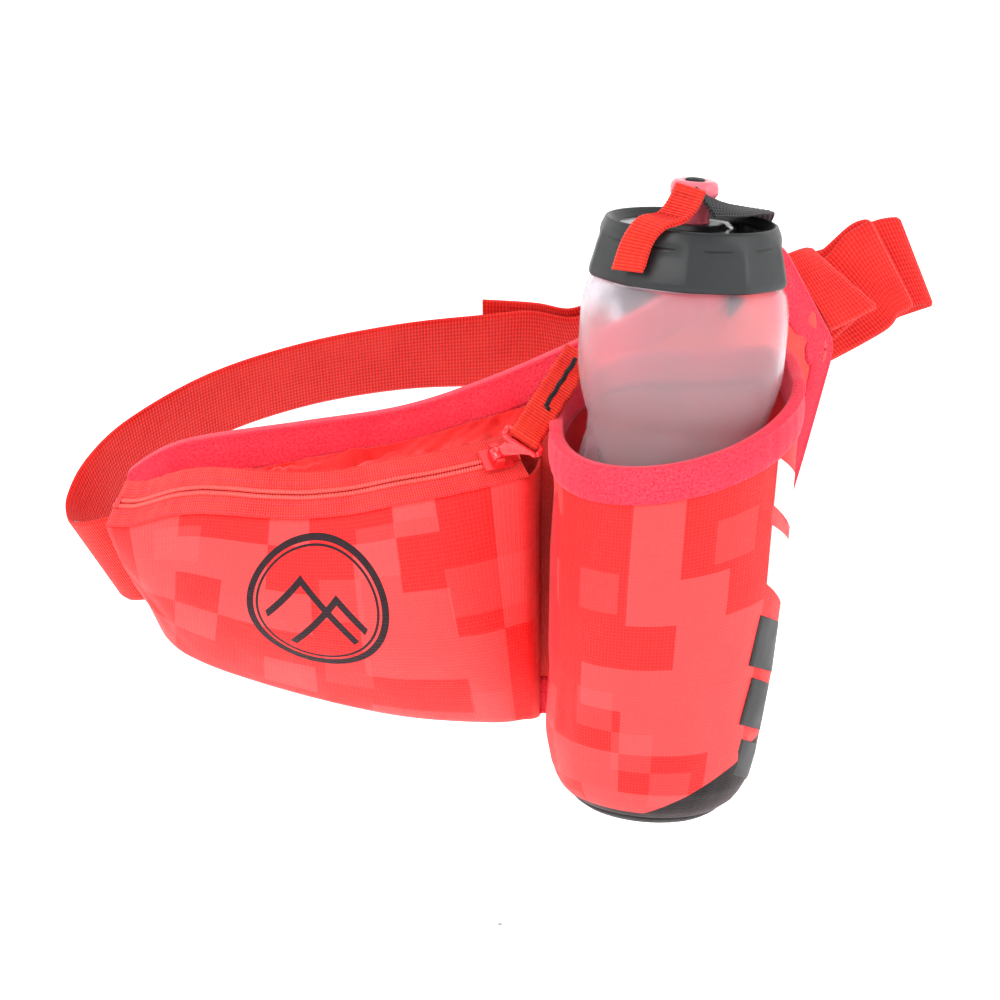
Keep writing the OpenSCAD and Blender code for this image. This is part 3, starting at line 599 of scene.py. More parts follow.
def panel_rim(steps=220, side=26):
    """Outline of the panel as a smooth loop, with the way inward at each point."""
    t = np.concatenate([np.linspace(0, 1, steps, endpoint=False), np.ones(side),
                        np.linspace(1, 0, steps, endpoint=False), np.zeros(side)])
    v = np.concatenate([np.zeros(steps), np.linspace(0, 1, side, endpoint=False), np.ones(steps),
                        np.linspace(1, 0, side, endpoint=False)])
    edge = panel_point(t, v)
    up = unit(panel_point(t, np.ones_like(v)) - panel_point(t, np.zeros_like(v)))
    right = unit(panel_point(np.minimum(t + 0.02, 1), v) - panel_point(np.maximum(t - 0.02, 0), v))
    count = len(t)
    rise, run = np.zeros(count), np.zeros(count)
    rise[:steps], rise[steps + side:2 * steps + side] = 1, -1
    run[steps:steps + side], run[2 * steps + side:] = -1, 1
    inward = rolled(up * rise[:, None] + right * run[:, None], 30)
    return rolled(edge, 10), unit(inward)


def binding_profile(width, inner, thick):
    """Binding folded over an edge: (inward, through) pairs, with a pillowed face and a round fold."""
    fold = [(-thick * math.sin(a) - 0.1, inner / 2 - (inner / 2 + thick * 0.9) * math.cos(a))
            for a in np.linspace(0.35, math.pi - 0.35, 9)]
    near = [(x, -thick * (0.35 + 0.65 * math.sin(math.pi * min(1, 1.15 * (1 - x / width) + 0.12)) ** 0.5))
            for x in np.linspace(width, 0.6, 9)]
    far = [(x, inner + thick * 0.9) for x in np.linspace(0.6, width, 5)]
    inside = [(width, inner), (width * 0.5, inner - 0.2), (0.4, inner - 0.4), (0.4, 0.4), (width * 0.5, 0.2),
              (width, 0.05)]
    return np.array(near + fold + far + inside)


def pucker(count, pitch_points, depth):
    k = np.arange(count)
    slow = 0.6 * np.sin(2 * math.pi * k / (pitch_points * 1.73) + 1)
    return depth * (np.sin(2 * math.pi * k / pitch_points) + slow)


edge, inward = panel_rim()
profile = binding_profile(PANEL_BINDING, PANEL_THICK, BINDING_THICK)
ripple = pucker(len(edge), 7.5, 0.10)[:, None]
points = (edge[:, None] + inward[:, None] * profile[None, :, :1]
          + BACK * (profile[None, :, 1] - ripple * (profile[None, :, 1] < 0))[..., None])
loft_piece("panel_edge_binding", points, "pack", pink_knit, loop=True, replaced=("panel_binding",),
           slot="pink_binding")
loop = list(range(len(edge))) + [0]
path = (edge + inward * 12.2 + BACK * -0.62)[loop]
stitches = stitch_line(path, np.tile(-BACK, (len(path), 1)), 1.5, 1.9, 0.4, 0.3, zigzag=0.8)
joined("panel_binding_stitches", stitches, "pack", pink_thread, slot="pink_binding")


# ---- Zip ----

ZIP_CENTRE, ZIP_TURN = np.array([-53, 86, 113.3]), turn([2, -8.6, -9])
ZIP_RADIUS, ZIP_START, ZIP_END, SLIDER_PARKED = 131.5, -123, -54, -58
COIL_GAP, COIL_WIDTH, TAPE, TEETH, RINGS_PER_TOOTH = 0.6, 1.8, 7.0, 158, 6
zip_wave = [(-123, 0), (-118, 0.2), (-114, 2.6), (-110, 5.0), (-105, 5.8), (-100, 4.6), (-95, 2.6), (-88, 0.3),
            (-81, -0.4), (-74, 0.4), (-67, 0), (-54, 0)]


def zip_at(angle, s, n):
    """Point on the zip at an angle, s down its tape and n out of it."""
    angle, s, n = np.broadcast_arrays(np.asarray(angle, float), s, n)
    a = np.radians(angle)
    r, h = ZIP_RADIUS + (s + n) * math.sqrt(0.5), (n - s) * math.sqrt(0.5)
    p = np.stack([r * np.cos(a), r * np.sin(a), h], -1) @ ZIP_TURN.T + ZIP_CENTRE
    wave = table(zip_wave, angle)
    return p + UP * wave[..., None] - BACK * (0.22 * wave)[..., None]


def zip_out(angle):
    """Outward direction of the zip's face."""
    return unit(zip_at(angle, 0, 1) - zip_at(angle, 0, 0))


zip_angles = np.linspace(ZIP_START, ZIP_END, 240)
for side, name in ((1, "lower"), (-1, "upper")):
    s = side * (COIL_GAP + COIL_WIDTH * 0.55 + np.linspace(0, TAPE + 0.8, 9))
    p = zip_at(zip_angles[:, None], s[None], 0.10 * np.sin(zip_angles * 2.1)[:, None] - 0.05)
    sheet_piece(f"zip_tape_{name}_weave", p, "pack", zip_tape, UP, thick=0.6, inward=0,
                replaced=(f"zip_tape_{name}",), slot="zip_tape")
    rings = TEETH * RINGS_PER_TOOTH
    angle = np.linspace(ZIP_START, ZIP_END, rings)
    k = np.abs(np.sin(np.pi * np.arange(rings) / RINGS_PER_TOOTH + (math.pi / 2 if side > 0 else 0)))
    a = np.linspace(0, 2 * math.pi, 10, endpoint=False)
    tall = mix(0.42, 0.92, k ** 0.6)[:, None] * np.sin(a)
    wide = side * (COIL_GAP + COIL_WIDTH / 2) + mix(0.72, 1.12, k ** 0.6)[:, None] * np.cos(a) * COIL_WIDTH / 2
    p = zip_at(angle[:, None], wide - side * 0.42, tall + 0.15)
    loft_piece(f"zip_teeth_{name}", p, "pack", zip_nylon, replaced=(f"zip_coil_{name}",), slot="zip_coil")

lines = []
for s in (3.9, 8.4, -4.6):
    lines += stitch_line(zip_at(zip_angles, s, 0.34), zip_out(zip_angles), 2.1, 1.35, 0.42, 0.3, skip=2)
joined("zip_tape_stitches", lines, "pack", coral_thread, slot="zip_tape")


# ---- Pocket ----

BELLY = 13.0
pocket_bottom = [[-129, -1, 57], [-123, -6, 45.5], [-109, -8, 36.5], [-74, -9, 25], [-37, -9, 16.5], [-4, -9, 14],
                 [9, -7, 14.5]]
pocket_foot = [[-131, 3.0, 60.5], [-123, 0.6, 50], [-109, -1.2, 40.5], [-74, -1.2, 29], [-37, -1.2, 20.5],
               [-4, -1.2, 17], [9, -1.2, 17]]
gusset_back = [[-137, 12, 92], [-118, 5.5, 102], [-73, -0.6, 113], [-36, -1.4, 120], [-7, -1.4, 128.5],
               [12, -1.4, 134]]


def front_points(u, v):
    """The pocket's front at each u along it and v up it, with the cloth's slack as soft folds."""
    u, v = np.broadcast_arrays(u[:, None], v[None])
    top = zip_at(mix(ZIP_START, ZIP_END - 2, u), COIL_GAP + COIL_WIDTH + TAPE, -0.3)
    low = curve(pocket_bottom, u.ravel()).reshape(*u.shape, 3)
    swell = BELLY * np.sin(math.pi * v) ** 0.8 * np.sin(np.radians(20 + 140 * u)) ** 0.6
    p = mix(low, top, v[..., None])
    p = p - BACK * swell[..., None] - UP * (0.1 * swell)[..., None]
    spot = np.stack([u * 160, v * 30, 0 * u], -1)
    long_folds = noise_at(spot + [0, 0, 3], 34) * 1.5 * np.sin(math.pi * v)
    seam = noise_at(np.stack([u * 160, v * 12, 0 * u], -1), 5.5, 4.0)
    seam = seam * (0.55 * np.exp(-(1 - v) / 0.07) + 0.8 * np.exp(-v / 0.09)) * np.minimum(1, 12 * v * (1 - v))
    crease = 1.6 * np.exp(-((u + 0.55 * v - 0.30) / 0.045) ** 2) * np.exp(-((v - 0.28) / 0.22) ** 2)
    crease += 1.2 * np.exp(-((u - 0.35 * v - 0.02) / 0.04) ** 2) * np.exp(-((v - 0.42) / 0.25) ** 2)
    return p - BACK * (long_folds + seam - crease)[..., None]


u, v = np.linspace(0, 1, 110), np.linspace(0, 1, 46)
front = front_points(u, v)
left_edge = mix(np.array([-132.5, 2.7, 60]), np.array([-138, 11.6, 91]), v[:, None])
left = np.array([mix(left_edge, front[0], smooth(k) * 0.5 + k * 0.5) - RIGHT * 1.2 * math.sin(math.pi * k)
                 for k in (0, 0.2, 0.4, 0.6, 0.8)])
right = []
for a in np.radians([15, 30, 45, 60, 75, 90]):
    p = front[-1].copy()
    right.append(np.column_stack([mix(p[:, 0], 15, math.sin(a)), mix(-1.6, p[:, 1], math.cos(a)), p[:, 2]]))
front = np.concatenate([left, front, np.array(right)])
foot = np.concatenate([np.tile(left_edge[0] + [0.6, 0.4, 0.8], (5, 1)), curve(pocket_foot, u),
                       np.tile([14.4, -1.2, 17.4], (6, 1))])
under = [mix(foot, front[:, 0], k) - UP * 0.5 * math.sin(math.pi * k) for k in (0, 0.33, 0.66)]
front = np.concatenate([np.stack(under, 1), front], 1)
along, up = lengths(front, 0), lengths(front, 1)
cloth = ripstop("coral_ripstop_pocket", (0.35, 0.2), badge=((along[0] + 101.0) / 1000, (up[0] + 62.0) / 1000))
sheet_piece("pocket_front_cloth", front, "pack", cloth, -BACK, thick=1.0, replaced=("pocket_front",),
            slot="coral_ripstop")

u, v = np.linspace(0, 1, 150), np.linspace(0, 1, 30)
uu, vv = np.broadcast_arrays(u[:, None], v[None])
near = zip_at(mix(ZIP_START, ZIP_END, uu), -COIL_GAP - COIL_WIDTH - TAPE + 0.6, 0)
far = curve(gusset_back, u)[:, None]
gusset = mix(near, far, vv[..., None])
folds = noise_at(np.stack([uu * 150, vv * 9, 0 * uu], -1), 8.5, 2.0) * 3.2
folds += noise_at(np.stack([uu * 150 + vv * 22, vv * 6, 0 * uu], -1), 4.2, 9.0) * 1.5
dart = np.exp(-((uu - 0.42 - 0.10 * vv) / 0.022) ** 2) * 2.6 - np.exp(-((uu - 0.47 - 0.12 * vv) / 0.03) ** 2) * 2.2
dart += np.exp(-((uu - 0.16 + 0.05 * vv) / 0.03) ** 2) * 1.4 - np.exp(-((uu - 0.70 + 0.12 * vv) / 0.035) ** 2) * 2.0
hold = np.minimum(1, 9 * vv) * np.minimum(1, 7 * (1 - vv))
gusset = gusset + UP * ((folds + dart) * hold - 2.0 * np.sin(math.pi * vv) - 0.5)[..., None]
gusset = gusset - BACK * (0.5 * folds * hold)[..., None]
sheet_piece("pocket_gusset_cloth", gusset, "pack", gusset_cloth, UP, thick=0.8,
            replaced=("pocket_gusset",), slot="coral_ripstop")


# ---- Zip pull ----

PIN_LIFT, PULL_LENGTH, PULL_ANGLE, TAB_WIDTH, TAB_LENGTH = 4.0, 12.0, math.radians(35), 12.0, 40.0
slider_axes = (ZIP_TURN @ spin(UP, SLIDER_PARKED) @ spin(BACK, 45)).T
slider_origin = ZIP_CENTRE + ZIP_TURN @ spin(UP, SLIDER_PARKED) @ np.array([ZIP_RADIUS, 0, 0])
pin = slider_origin + slider_axes[2] * PIN_LIFT
pull_way = slider_axes[1] * math.cos(PULL_ANGLE) + slider_axes[2] * math.sin(PULL_ANGLE)
pull_end = pin + pull_way * PULL_LENGTH
tab_axes = turn([48.5, 31.5, -8.8]).T


def in_tab(p):
    return np.asarray(p, float) @ tab_axes + pull_end


def rod(a, b, r, sides=16):
    """Round bar between two points, with rounded ends."""
    along = unit(np.subtract(b, a))
    side = unit(np.cross(along, UP if abs(along[2]) < 0.9 else RIGHT))
    other = np.cross(along, side)
    length = np.linalg.norm(np.subtract(b, a))
    k = np.concatenate([np.linspace(0, 1, 4), length / r + np.linspace(-1, 0, 4)]) * r
    ends = np.linspace(0.3, math.pi / 2, 4), np.linspace(math.pi / 2, math.pi - 0.3, 4)
    rr = np.sin(np.concatenate(ends)) * r
    t = np.linspace(0, 2 * math.pi, sides, endpoint=False)
    p = (np.asarray(a) + k[:, None, None] * along + (rr[:, None] * np.cos(t))[..., None] * side
         + (rr[:, None] * np.sin(t))[..., None] * other)
    quads, _ = grid_faces(8, sides, wrap_cols=True)
    return p.reshape(-1, 3), quads.tolist() + [list(range(sides))[::-1], [7 * sides + j for j in range(sides)]]


yoke = in_tab([0, -4, 0])
start = pin + pull_way * 2.1
k = np.linspace(0, 1, 14)
middle = mix(start, yoke, k[:, None]) + tab_axes[2] * (0.5 * np.sin(math.pi * k))[:, None]
side = unit(mix(slider_axes[0], tab_axes[0], smooth(k)[:, None]))
along = unit(np.gradient(middle, axis=0))
face = unit(np.cross(side, along))
half_w = np.interp(k, [0, 0.25, 0.7, 1], [2.1, 2.5, 3.8, 6.6])
half_t = np.interp(k, [0, 0.3, 1], [1.3, 1.15, 0.9])
a = np.linspace(0, 2 * math.pi, 20, endpoint=False)
cx = np.sign(np.cos(a)) * np.abs(np.cos(a)) ** 0.5
cy = np.sign(np.sin(a)) * np.abs(np.sin(a)) ** 0.7
neck = (middle[:, None] + side[:, None] * (half_w[:, None] * cx)[..., None]
        + face[:, None] * (half_t[:, None] * cy)[..., None])
quads, _ = grid_faces(len(k), 20, wrap_cols=True)
neck = (neck.reshape(-1, 3), quads.tolist() + [list(range(20))[::-1], [13 * 20 + j for j in range(20)]])
a = np.linspace(0, 2 * math.pi, 28, endpoint=False)
outline = [(0.86, -2.3), (1.9, -2.3), (2.2, -1.9), (2.2, 1.9), (1.9, 2.3), (0.86, 2.3)]
eye = np.array([[pin + slider_axes[0] * x + (slider_axes[1] * math.cos(t) + slider_axes[2] * math.sin(t)) * r
                 for r, x in outline] for t in a])
quads, _ = grid_faces(28, 6, wrap_rows=True, wrap_cols=True)
post = TAB_WIDTH / 2 + 1
pull = [neck, (eye.reshape(-1, 3), quads.tolist()), rod(in_tab([-post, 0, 0]), in_tab([post, 0, 0]), 0.9)]
pull += [rod(in_tab([x, -4, 0]), in_tab([x, 0.3, 0]), 0.95) for x in (-post, post)]
pull.append(rod(in_tab([-post, -4, 0]), in_tab([post, -4, 0]), 1.0))
joined("zip_pull_moulding", pull, "pull", red_gloss, replaced=("zip_pull",), slot="red_plastic")


def folded_tab(length, loop_r, gap, steps=330):
    """Path of webbing that runs down one face, round a bar and back up: (along, out) pairs with normals."""
    k = np.linspace(0, 1, steps)
    arc = math.pi * loop_r
    total = 2 * length + arc
    s = k * total
    a = np.clip((s - length) / loop_r, 0, math.pi)
    down, backward = np.maximum(length - s, 0), np.maximum(s - length - arc, 0)
    y = down + backward - loop_r * np.sin(a)
    squeeze = mix(1.0, gap / loop_r, smooth((down + backward) / 6))
    z = loop_r * np.cos(a) * squeeze
    n = np.column_stack([0 * s, -np.sin(a), np.cos(a)])
    return np.column_stack([0 * s, y, z]), n, s


TAB_FACE, TAB_BOW = 0.62 + 0.62, 1.6
path, out, s = folded_tab(TAB_LENGTH, 1.45, 0.62)
rib = 0.13 * np.cos(2 * math.pi * s / 1.25)
profile = ribbon(TAB_WIDTH - 0.6, 0.95, 15)
x = profile[:, 0] - (TAB_WIDTH - 0.6) / 2
wavy = 1 + 0.028 * np.sin(s / 0.9) + 0.02 * np.sin(s / 2.3 + 1)
lean = TAB_BOW * np.sin(np.maximum(path[:, 1], 0) / TAB_LENGTH * math.pi) ** 2
p = (path[:, None] + RIGHT * (x[None] * wavy[:, None])[..., None]
     + out[:, None] * (profile[None, :, 1] + rib[:, None] * np.sign(profile[None, :, 1]))[..., None]
     + UP * lean[:, None, None])
loft_piece("zip_pull_webbing", in_tab(p), "pull_tab", grosgrain, replaced=("zip_pull_tab",), slot="orange_tab")
bar = []
for y in np.arange(13.5, 36.5, 0.62):
    z = TAB_FACE + TAB_BOW * math.sin(y / TAB_LENGTH * math.pi) ** 2
    bar.append(bead(in_tab([0.15 * math.sin(y), y, z]), tab_axes[0], tab_axes[1], tab_axes[2], 1.9, 0.75, 0.5))
for x in np.arange(0.6, 2.4, 0.6):
    z = TAB_FACE + TAB_BOW * math.sin(13.5 / TAB_LENGTH * math.pi) ** 2
    bar.append(bead(in_tab([x, 13.6 - 0.3 * x, z]), tab_axes[1], tab_axes[0], tab_axes[2], 1.7, 0.75, 0.5))
joined("zip_pull_bartack", bar, "pull_tab", black_thread, slot="black_elastic")


# ---- Sleeve ----

HOLSTER_FOOT, HOLSTER_TURN = np.array([52.9, -44, 0]), turn([0, 3.6, 0])
sleeve_radii = [(-1, 27.5), (0, 28.5), (3, 32), (6, 34), (11, 36.3), (20, 38), (50, 41.2), (85, 43), (160, 43.3)]
RIM_HEIGHT, RIM_SLOPE, RIM_RADIUS, SLEEVE_BACK, MOUTH_FLARE = 142, 0.26, 43, 43.4, 5
SLEEVE_WALL, RIM_BINDING, GIRTH_RADIUS = 3.4, 12, 42


def in_holster(p):
    return np.asarray(p, float) @ HOLSTER_TURN.T + HOLSTER_FOOT


def rim_at(a):
    """Height of the sleeve's mouth at each angle."""
    return RIM_HEIGHT + RIM_SLOPE * RIM_RADIUS * (np.sin(a) + np.cos(a))


def sleeve_at(f, a, inset=0.0, lift=0.0, tuck=1.0):
    """Point on the sleeve at height fraction f and angle a in radians, in the holster's own axes."""
    f, a, inset, lift = np.broadcast_arrays(f, a, inset, lift)
    sa, ca = np.sin(a), np.cos(a)
    h = f * rim_at(a) + lift
    r = np.interp(h, *zip(*sleeve_radii)) - inset
    settle = np.clip(h / 30, 0, 1)
    back = mix(r, SLEEVE_BACK - inset, settle)
    square = np.where(sa > 0, mix(1, 0.5, settle), 1)
    x = np.sign(ca) * np.abs(ca) ** square * r
    y = np.sign(sa) * np.abs(sa) ** square * np.where(sa > 0, back, r)
    x = x + np.where((ca > 0) & (sa > 0), MOUTH_FLARE * f * sa ** 2, 0)
    pinch = tuck * smooth((h - 22) / 26) * (1 - smooth((h - 96) / 34)) * np.maximum(-ca, 0) ** 6
    return np.stack([x + 3.2 * pinch, y, h], -1)


steps, levels = 192, 90
a = np.linspace(0, 2 * math.pi, steps, endpoint=False)
f = np.linspace(0, 1, levels) ** 1.15
p = sleeve_at(f[:, None], a[None])
spot = np.stack([60 * np.cos(a)[None] + 0 * f[:, None], 60 * np.sin(a)[None] + 0 * f[:, None],
                 f[:, None] * 46 + 0 * a[None]], -1)
side_mask = np.maximum(-np.cos(a + 0.35), 0)[None] ** 3 * np.sin(math.pi * f)[:, None]
low_mask = np.exp(-((f - 0.16) / 0.14) ** 2)[:, None]
dent = noise_at(spot, 13) * (0.35 + 1.5 * side_mask) + noise_at(spot * [1, 1, 2.2], 17, 5.0) * 0.8 * low_mask
dent = dent * np.minimum(1, 14 * f)[:, None] * np.minimum(1, 9 * (1 - f))[:, None]
outward = unit(p * [1, 1, 0])
outer = in_holster(p + outward * (dent - 0.35 * np.abs(dent))[..., None] - outward * 0.3)
girth = 2 * math.pi * GIRTH_RADIUS / 1000
v = np.append(a, 2 * math.pi) * GIRTH_RADIUS
u = np.concatenate([[0], np.cumsum(np.linalg.norm(np.diff(p, axis=0), axis=-1).mean(1))])
cloth = ripstop("coral_ripstop_sleeve", (0.1, 0.55), foot=(0.0045, 0.026, (2 * math.pi * 0.985, girth)))
sheet_piece("bottle_sleeve_cloth", outer, "pack", cloth, outward @ HOLSTER_TURN.T, wrap_cols=True, thick=1.2,
            uv=(u, v), replaced=("bottle_sleeve",), slot="coral_ripstop")
inner = in_holster(sleeve_at(f[:, None], a[None], SLEEVE_WALL - 0.1, tuck=0.0))
sheet_piece("sleeve_lining_cloth", inner, "pack", lining_cloth, -outward @ HOLSTER_TURN.T, wrap_cols=True,
            thick=0.8, replaced=("sleeve_lining",), slot="lining")

profile = binding_profile(RIM_BINDING, SLEEVE_WALL, BINDING_THICK)
a = np.linspace(0, 2 * math.pi, 240, endpoint=False)
ripple = pucker(240, 5.5, 0.10)[:, None]
p = sleeve_at(np.ones((240, 1)), a[:, None], profile[None, :, 1] + ripple * (profile[None, :, 1] < 0),
              -profile[None, :, 0])
loft_piece("sleeve_rim_binding", in_holster(p)[:, ::-1], "pack", pink_knit, loop=True, replaced=("sleeve_binding",),
           slot="pink_binding")
a = np.linspace(0, 2 * math.pi, 360)
path = sleeve_at(np.ones(360), a, -0.72, -9.6)
out = unit(np.column_stack([np.cos(a), np.sin(a), 0 * a])) @ HOLSTER_TURN.T
stitches = stitch_line(in_holster(path), out, 1.5, 1.9, 0.4, 0.3, zigzag=0.8)
joined("sleeve_binding_stitches", stitches, "pack", pink_thread, slot="pink_binding")


def decal(name, corners, material):
    """Slanted print on the sleeve between four (angle in degrees, height) corners."""
    (a0, h0), (a1, h1), (a2, h2), (a3, h3) = corners
    s, t = np.meshgrid(np.linspace(0, 1, 10), np.linspace(0, 1, 12), indexing="ij")
    ang = np.radians(mix(mix(a0, a1, s), mix(a3, a2, s), t))
    h = mix(mix(h0, h1, s), mix(h3, h2, s), t)
    p = sleeve_at(h / rim_at(ang), ang, 0.02, tuck=0.0)
    sheet_piece(name, in_holster(p), "pack", material, unit(p * [1, 1, 0]), thick=0.3, slot="reflective")


for i, (low, high) in enumerate(((111, 132), (83, 108))):
    decal(f"sleeve_print_light_{i + 1}", ((-38, low + 4), (-14, low - 7), (-14, high - 9), (-38, high)), white_print)
for i, (low, high) in enumerate(((56, 76), (34, 53), (15, 30))):
    decal(f"sleeve_print_dark_{i + 1}", ((-44, low + 2), (-12, low - 6), (-14, high - 7), (-40, high)), grey_print)

base = [(0.02, -5), (16.5, -5), (18, -4.85), (24, -3.4), (26.6, -1.6), (27.5, -0.35), (24.6, -0.35), (24.6, 1.8),
        (0.02, 1.8)]
revolve_piece("sleeve_foot_moulding", base, "pack", black_foot, place=in_holster, replaced=("sleeve_base",),
              slot="black_base")


# ---- Bottle ----

bottle_outline = [(20, 4.0), (23.5, 2.6), (27, 3.2), (29.5, 6), (31.5, 11), (33, 17), (35, 30), (36, 45), (36, 100),
                  (35.4, 113), (32.5, 126), (31, 135), (31.6, 139), (34, 147), (35.7, 156), (36, 166), (36, 176),
                  (34.8, 183), (32.6, 186.2), (30.4, 187.4), (30.2, 190), (30.2, 199.4)]
k = np.linspace(0, 1, 130)
outline = curve(bottle_outline, k)
a = np.linspace(0, 2 * math.pi, 180, endpoint=False)
r, h = outline[:, 0][:, None], outline[:, 1][:, None]
lobe = np.abs(((a * 6 / (2 * math.pi) + 0.08) % 1) - 0.5) * 2
crest = 1 - lobe[None] ** 1.6
arch = 60 + 70 * np.sqrt(np.maximum(1 - (lobe[None] * 0.96) ** 2, 0))
scallop = smooth((arch - h) / 5) * smooth((h - 20) / 30)
r = r - 1.9 * scallop * (0.35 + 0.65 * crest)
groove = 0.45 * np.exp(-((h - 131.5) / 1.2) ** 2) + 0.35 * np.exp(-((h - 138.5) / 1.1) ** 2)
r = r - groove + 0 * a[None]
outer = np.stack([r * np.cos(a), r * np.sin(a), h + 0 * a[None]], -1)
inner = np.stack([(r - 1.3) * np.cos(a), (r - 1.3) * np.sin(a), np.maximum(h, 5.4) + 0 * a[None]], -1)
body = np.concatenate([outer, inner[::-1]])
m = Material("frosted_bottle", (0.99, 0.95, 0.98), 0.22, Transmission_Weight=0.92, IOR=1.12)
at = m.coordinate("Object")
m.colour(m.blend(m.ramp(m.noise(at, 0.05), 0.3, 0.7), (0.96, 0.91, 0.96), (0.99, 0.95, 0.98)))
m.roughness(m.ramp(m.noise(at, 0.02, 4.0), 0.3, 0.7, 0.21, 0.24))
m.bump(m.noise(at, 0.0006, 1.0), 0.000002, 0.2)
frosted = m.material
quads, _ = grid_faces(*body.shape[:2], wrap_cols=True)
count, cols = body.shape[:2]
ends = [list(range(cols)), [(count - 1) * cols + j for j in range(cols)][::-1]]
mesh_piece("bottle_shell", in_holster(body).reshape(-1, 3), quads.tolist() + ends, "bottle", frosted,
           replaced=("bottle_body",), slot="frosted_bottle")

SIDES = 10
cap_outline = [(31.9, 187.7), (34.6, 187.7), (35.1, 188.4), (35.2, 190.4), (34.6, 193), (33.3, 198.4), (32.3, 201.6),
               (31.9, 202.6), (31.0, 204.6), (30.2, 206.4), (29.8, 207.3), (29.2, 207.6), (28.6, 207.4), (27.6, 206.2),
               (26.8, 205.0), (25.6, 204.7)]
inner_cap = [(12.6, 204.8), (11.6, 206.6), (10.8, 207.0), (6.4, 207.0), (6.12, 206.6), (6.12, 201.7), (31.4, 201.7),
             (31.45, 200.0)]
a = np.linspace(0, 2 * math.pi, 200, endpoint=False)
cells = (a * SIDES / (2 * math.pi) + 0.62) % 1 - 0.5
facet = np.cos(math.pi / SIDES) / np.cos(cells * 2 * math.pi / SIDES)
rows = []
for r, h in cap_outline + inner_cap:
    amount = np.interp(h, [188, 191, 201.6, 203.2], [0.45, 0.8, 0.8, 0.0]) if r > 31.6 and h < 204 else 0
    rows.append(np.stack([r * mix(1, facet, amount) * np.cos(a), r * mix(1, facet, amount) * np.sin(a),
                          np.full_like(a, h)], -1))
cap = np.array(rows).transpose(1, 0, 2)
loft_piece("cap_shell", in_holster(cap), "cap", black_cap, loop=True, replaced=("bottle_cap",), slot="black_cap")
revolve_piece("cap_top_disc", [(13.2, 204.9), (25.2, 204.9), (25.4, 205.2), (24.6, 205.5), (13.6, 205.7),
                               (13.0, 205.3)], "cap", black_gloss, place=in_holster, slot="black_cap")
revolve_piece("spout_mushroom", [(3.45, 195), (5.95, 195), (5.95, 214.2), (6.4, 215.2), (7.6, 215.9), (8.3, 216.9),
                                 (8.35, 218.8), (8.0, 220.2), (7.2, 221.1), (6.0, 221.4), (4.2, 221.3), (3.5, 220.8)],
              "spout", plastic("pink_spout", (0.93, 0.20, 0.26), 0.24, Transmission_Weight=0.35, IOR=1.4),
              place=in_holster, replaced=("spout",), slot="pink_spout", steps=72)
revolve_piece("spout_valve_disc", [(0.02, 217), (3.35, 217), (3.35, 221.6), (3.0, 221.9), (1.6, 221.6), (0.02, 221.4)],
              "spout", black_foot, place=in_holster, replaced=("spout_valve",), slot="valve", steps=48)


# ---- Cap strap ----

elastic_path = [[84.5, -0.4, 182], [86, -4, 191], [87.5, -11.5, 200], [88.4, -23, 207.2], [84.5, -35, 209.6],
                [77.5, -49, 212], [69, -60.5, 215.6]]
elastic_across = [[0.96, 0.15, -0.15], [0.96, 0.15, -0.15], [0.97, 0.08, -0.12], [0.97, -0.1, -0.12],
                  [0.88, -0.42, -0.14], [0.58, -0.75, -0.26], [0.36, -0.76, -0.52]]
tab_path = [[64, -64.6, 221], [61, -67.4, 215.4], [57, -69.6, 211.6], [50.5, -72.4, 210], [45.6, -74.4, 204],
            [42.4, -74.6, 194.4]]
tab_across = [[0.9, -0.36, -0.24], [0.88, -0.4, -0.2], [0.87, -0.46, -0.15], [0.82, -0.5, -0.25],
              [0.86, -0.48, -0.12], [0.9, -0.42, -0.05]]


ELASTIC_WIDTH, CAP_TAB_WIDTH = 16, 11


def edge_of(path, across, width):
    return np.array(path, float) - unit(across) * width / 2


profile = ribbon(ELASTIC_WIDTH, 1.5, 91, ribs=9, rib_depth=0.5)
stations = strap_stations(edge_of(elastic_path, elastic_across, ELASTIC_WIDTH), elastic_across, 90)
loft_piece("cap_strap_elastic", strap_points(stations, profile), "retention", elastic, replaced=("retention_elastic",),
           slot="black_elastic")
profile = ribbon(CAP_TAB_WIDTH, 0.95, 15)
stations = strap_stations(edge_of(tab_path, tab_across, CAP_TAB_WIDTH), tab_across, 170)
s = np.concatenate([[0], np.cumsum(np.linalg.norm(np.diff(stations[0], axis=0), axis=1))])
parts = []
for side, name in ((1, "front"), (-1, "back")):
    spread = 0.55 + 0.9 * smooth((s / s[-1] - 0.62) / 0.3) * (1 - smooth((s / s[-1] - 0.93) / 0.07)) * (side < 0)
    shifted = (stations[0] + stations[2] * (side * spread)[:, None], *stations[1:])
    rib = (0.13 * np.cos(2 * math.pi * s / 1.2))[:, None, None] * np.sign(profile[None, :, 1:])
    p = strap_points(shifted, profile) + stations[2][:, None] * rib
    loft_piece(f"cap_strap_tab_{name}", p, "retention", grosgrain, slot="orange_tab",
               replaced=("retention_tab",) if side > 0 else ())
start, w, normal, _ = stations
rows = []
for at, count in ((0.10, 2), (0.40, 1)):
    i = int(at * len(start))
    for j in range(count):
        here = start[i + 5 * j] + normal[i + 5 * j] * np.sign(normal[i + 5 * j] @ -BACK) * 1.15
        line = here + w[i] * np.linspace(1.2, 9.8, 12)[:, None]
        rows += stitch_line(line, np.tile(normal[i] * np.sign(normal[i] @ -BACK), (12, 1)), 1.5, 1.1, 0.5, 0.35)
joined("cap_strap_tab_stitches", rows, "retention", red_thread, slot="orange_tab")


# ---- Belt ----

BUCKLE_CENTRE, BUCKLE_TURN = np.array([69, 101, 144.5]), turn([24, -18, -3])
BELT, BELT_THICK, BAR_X, BAR_R, BAR_GAP = 38.0, 1.6, 28.0, 2.0, 0.6
LOOP_R = BAR_R + BAR_GAP + BELT_THICK / 2


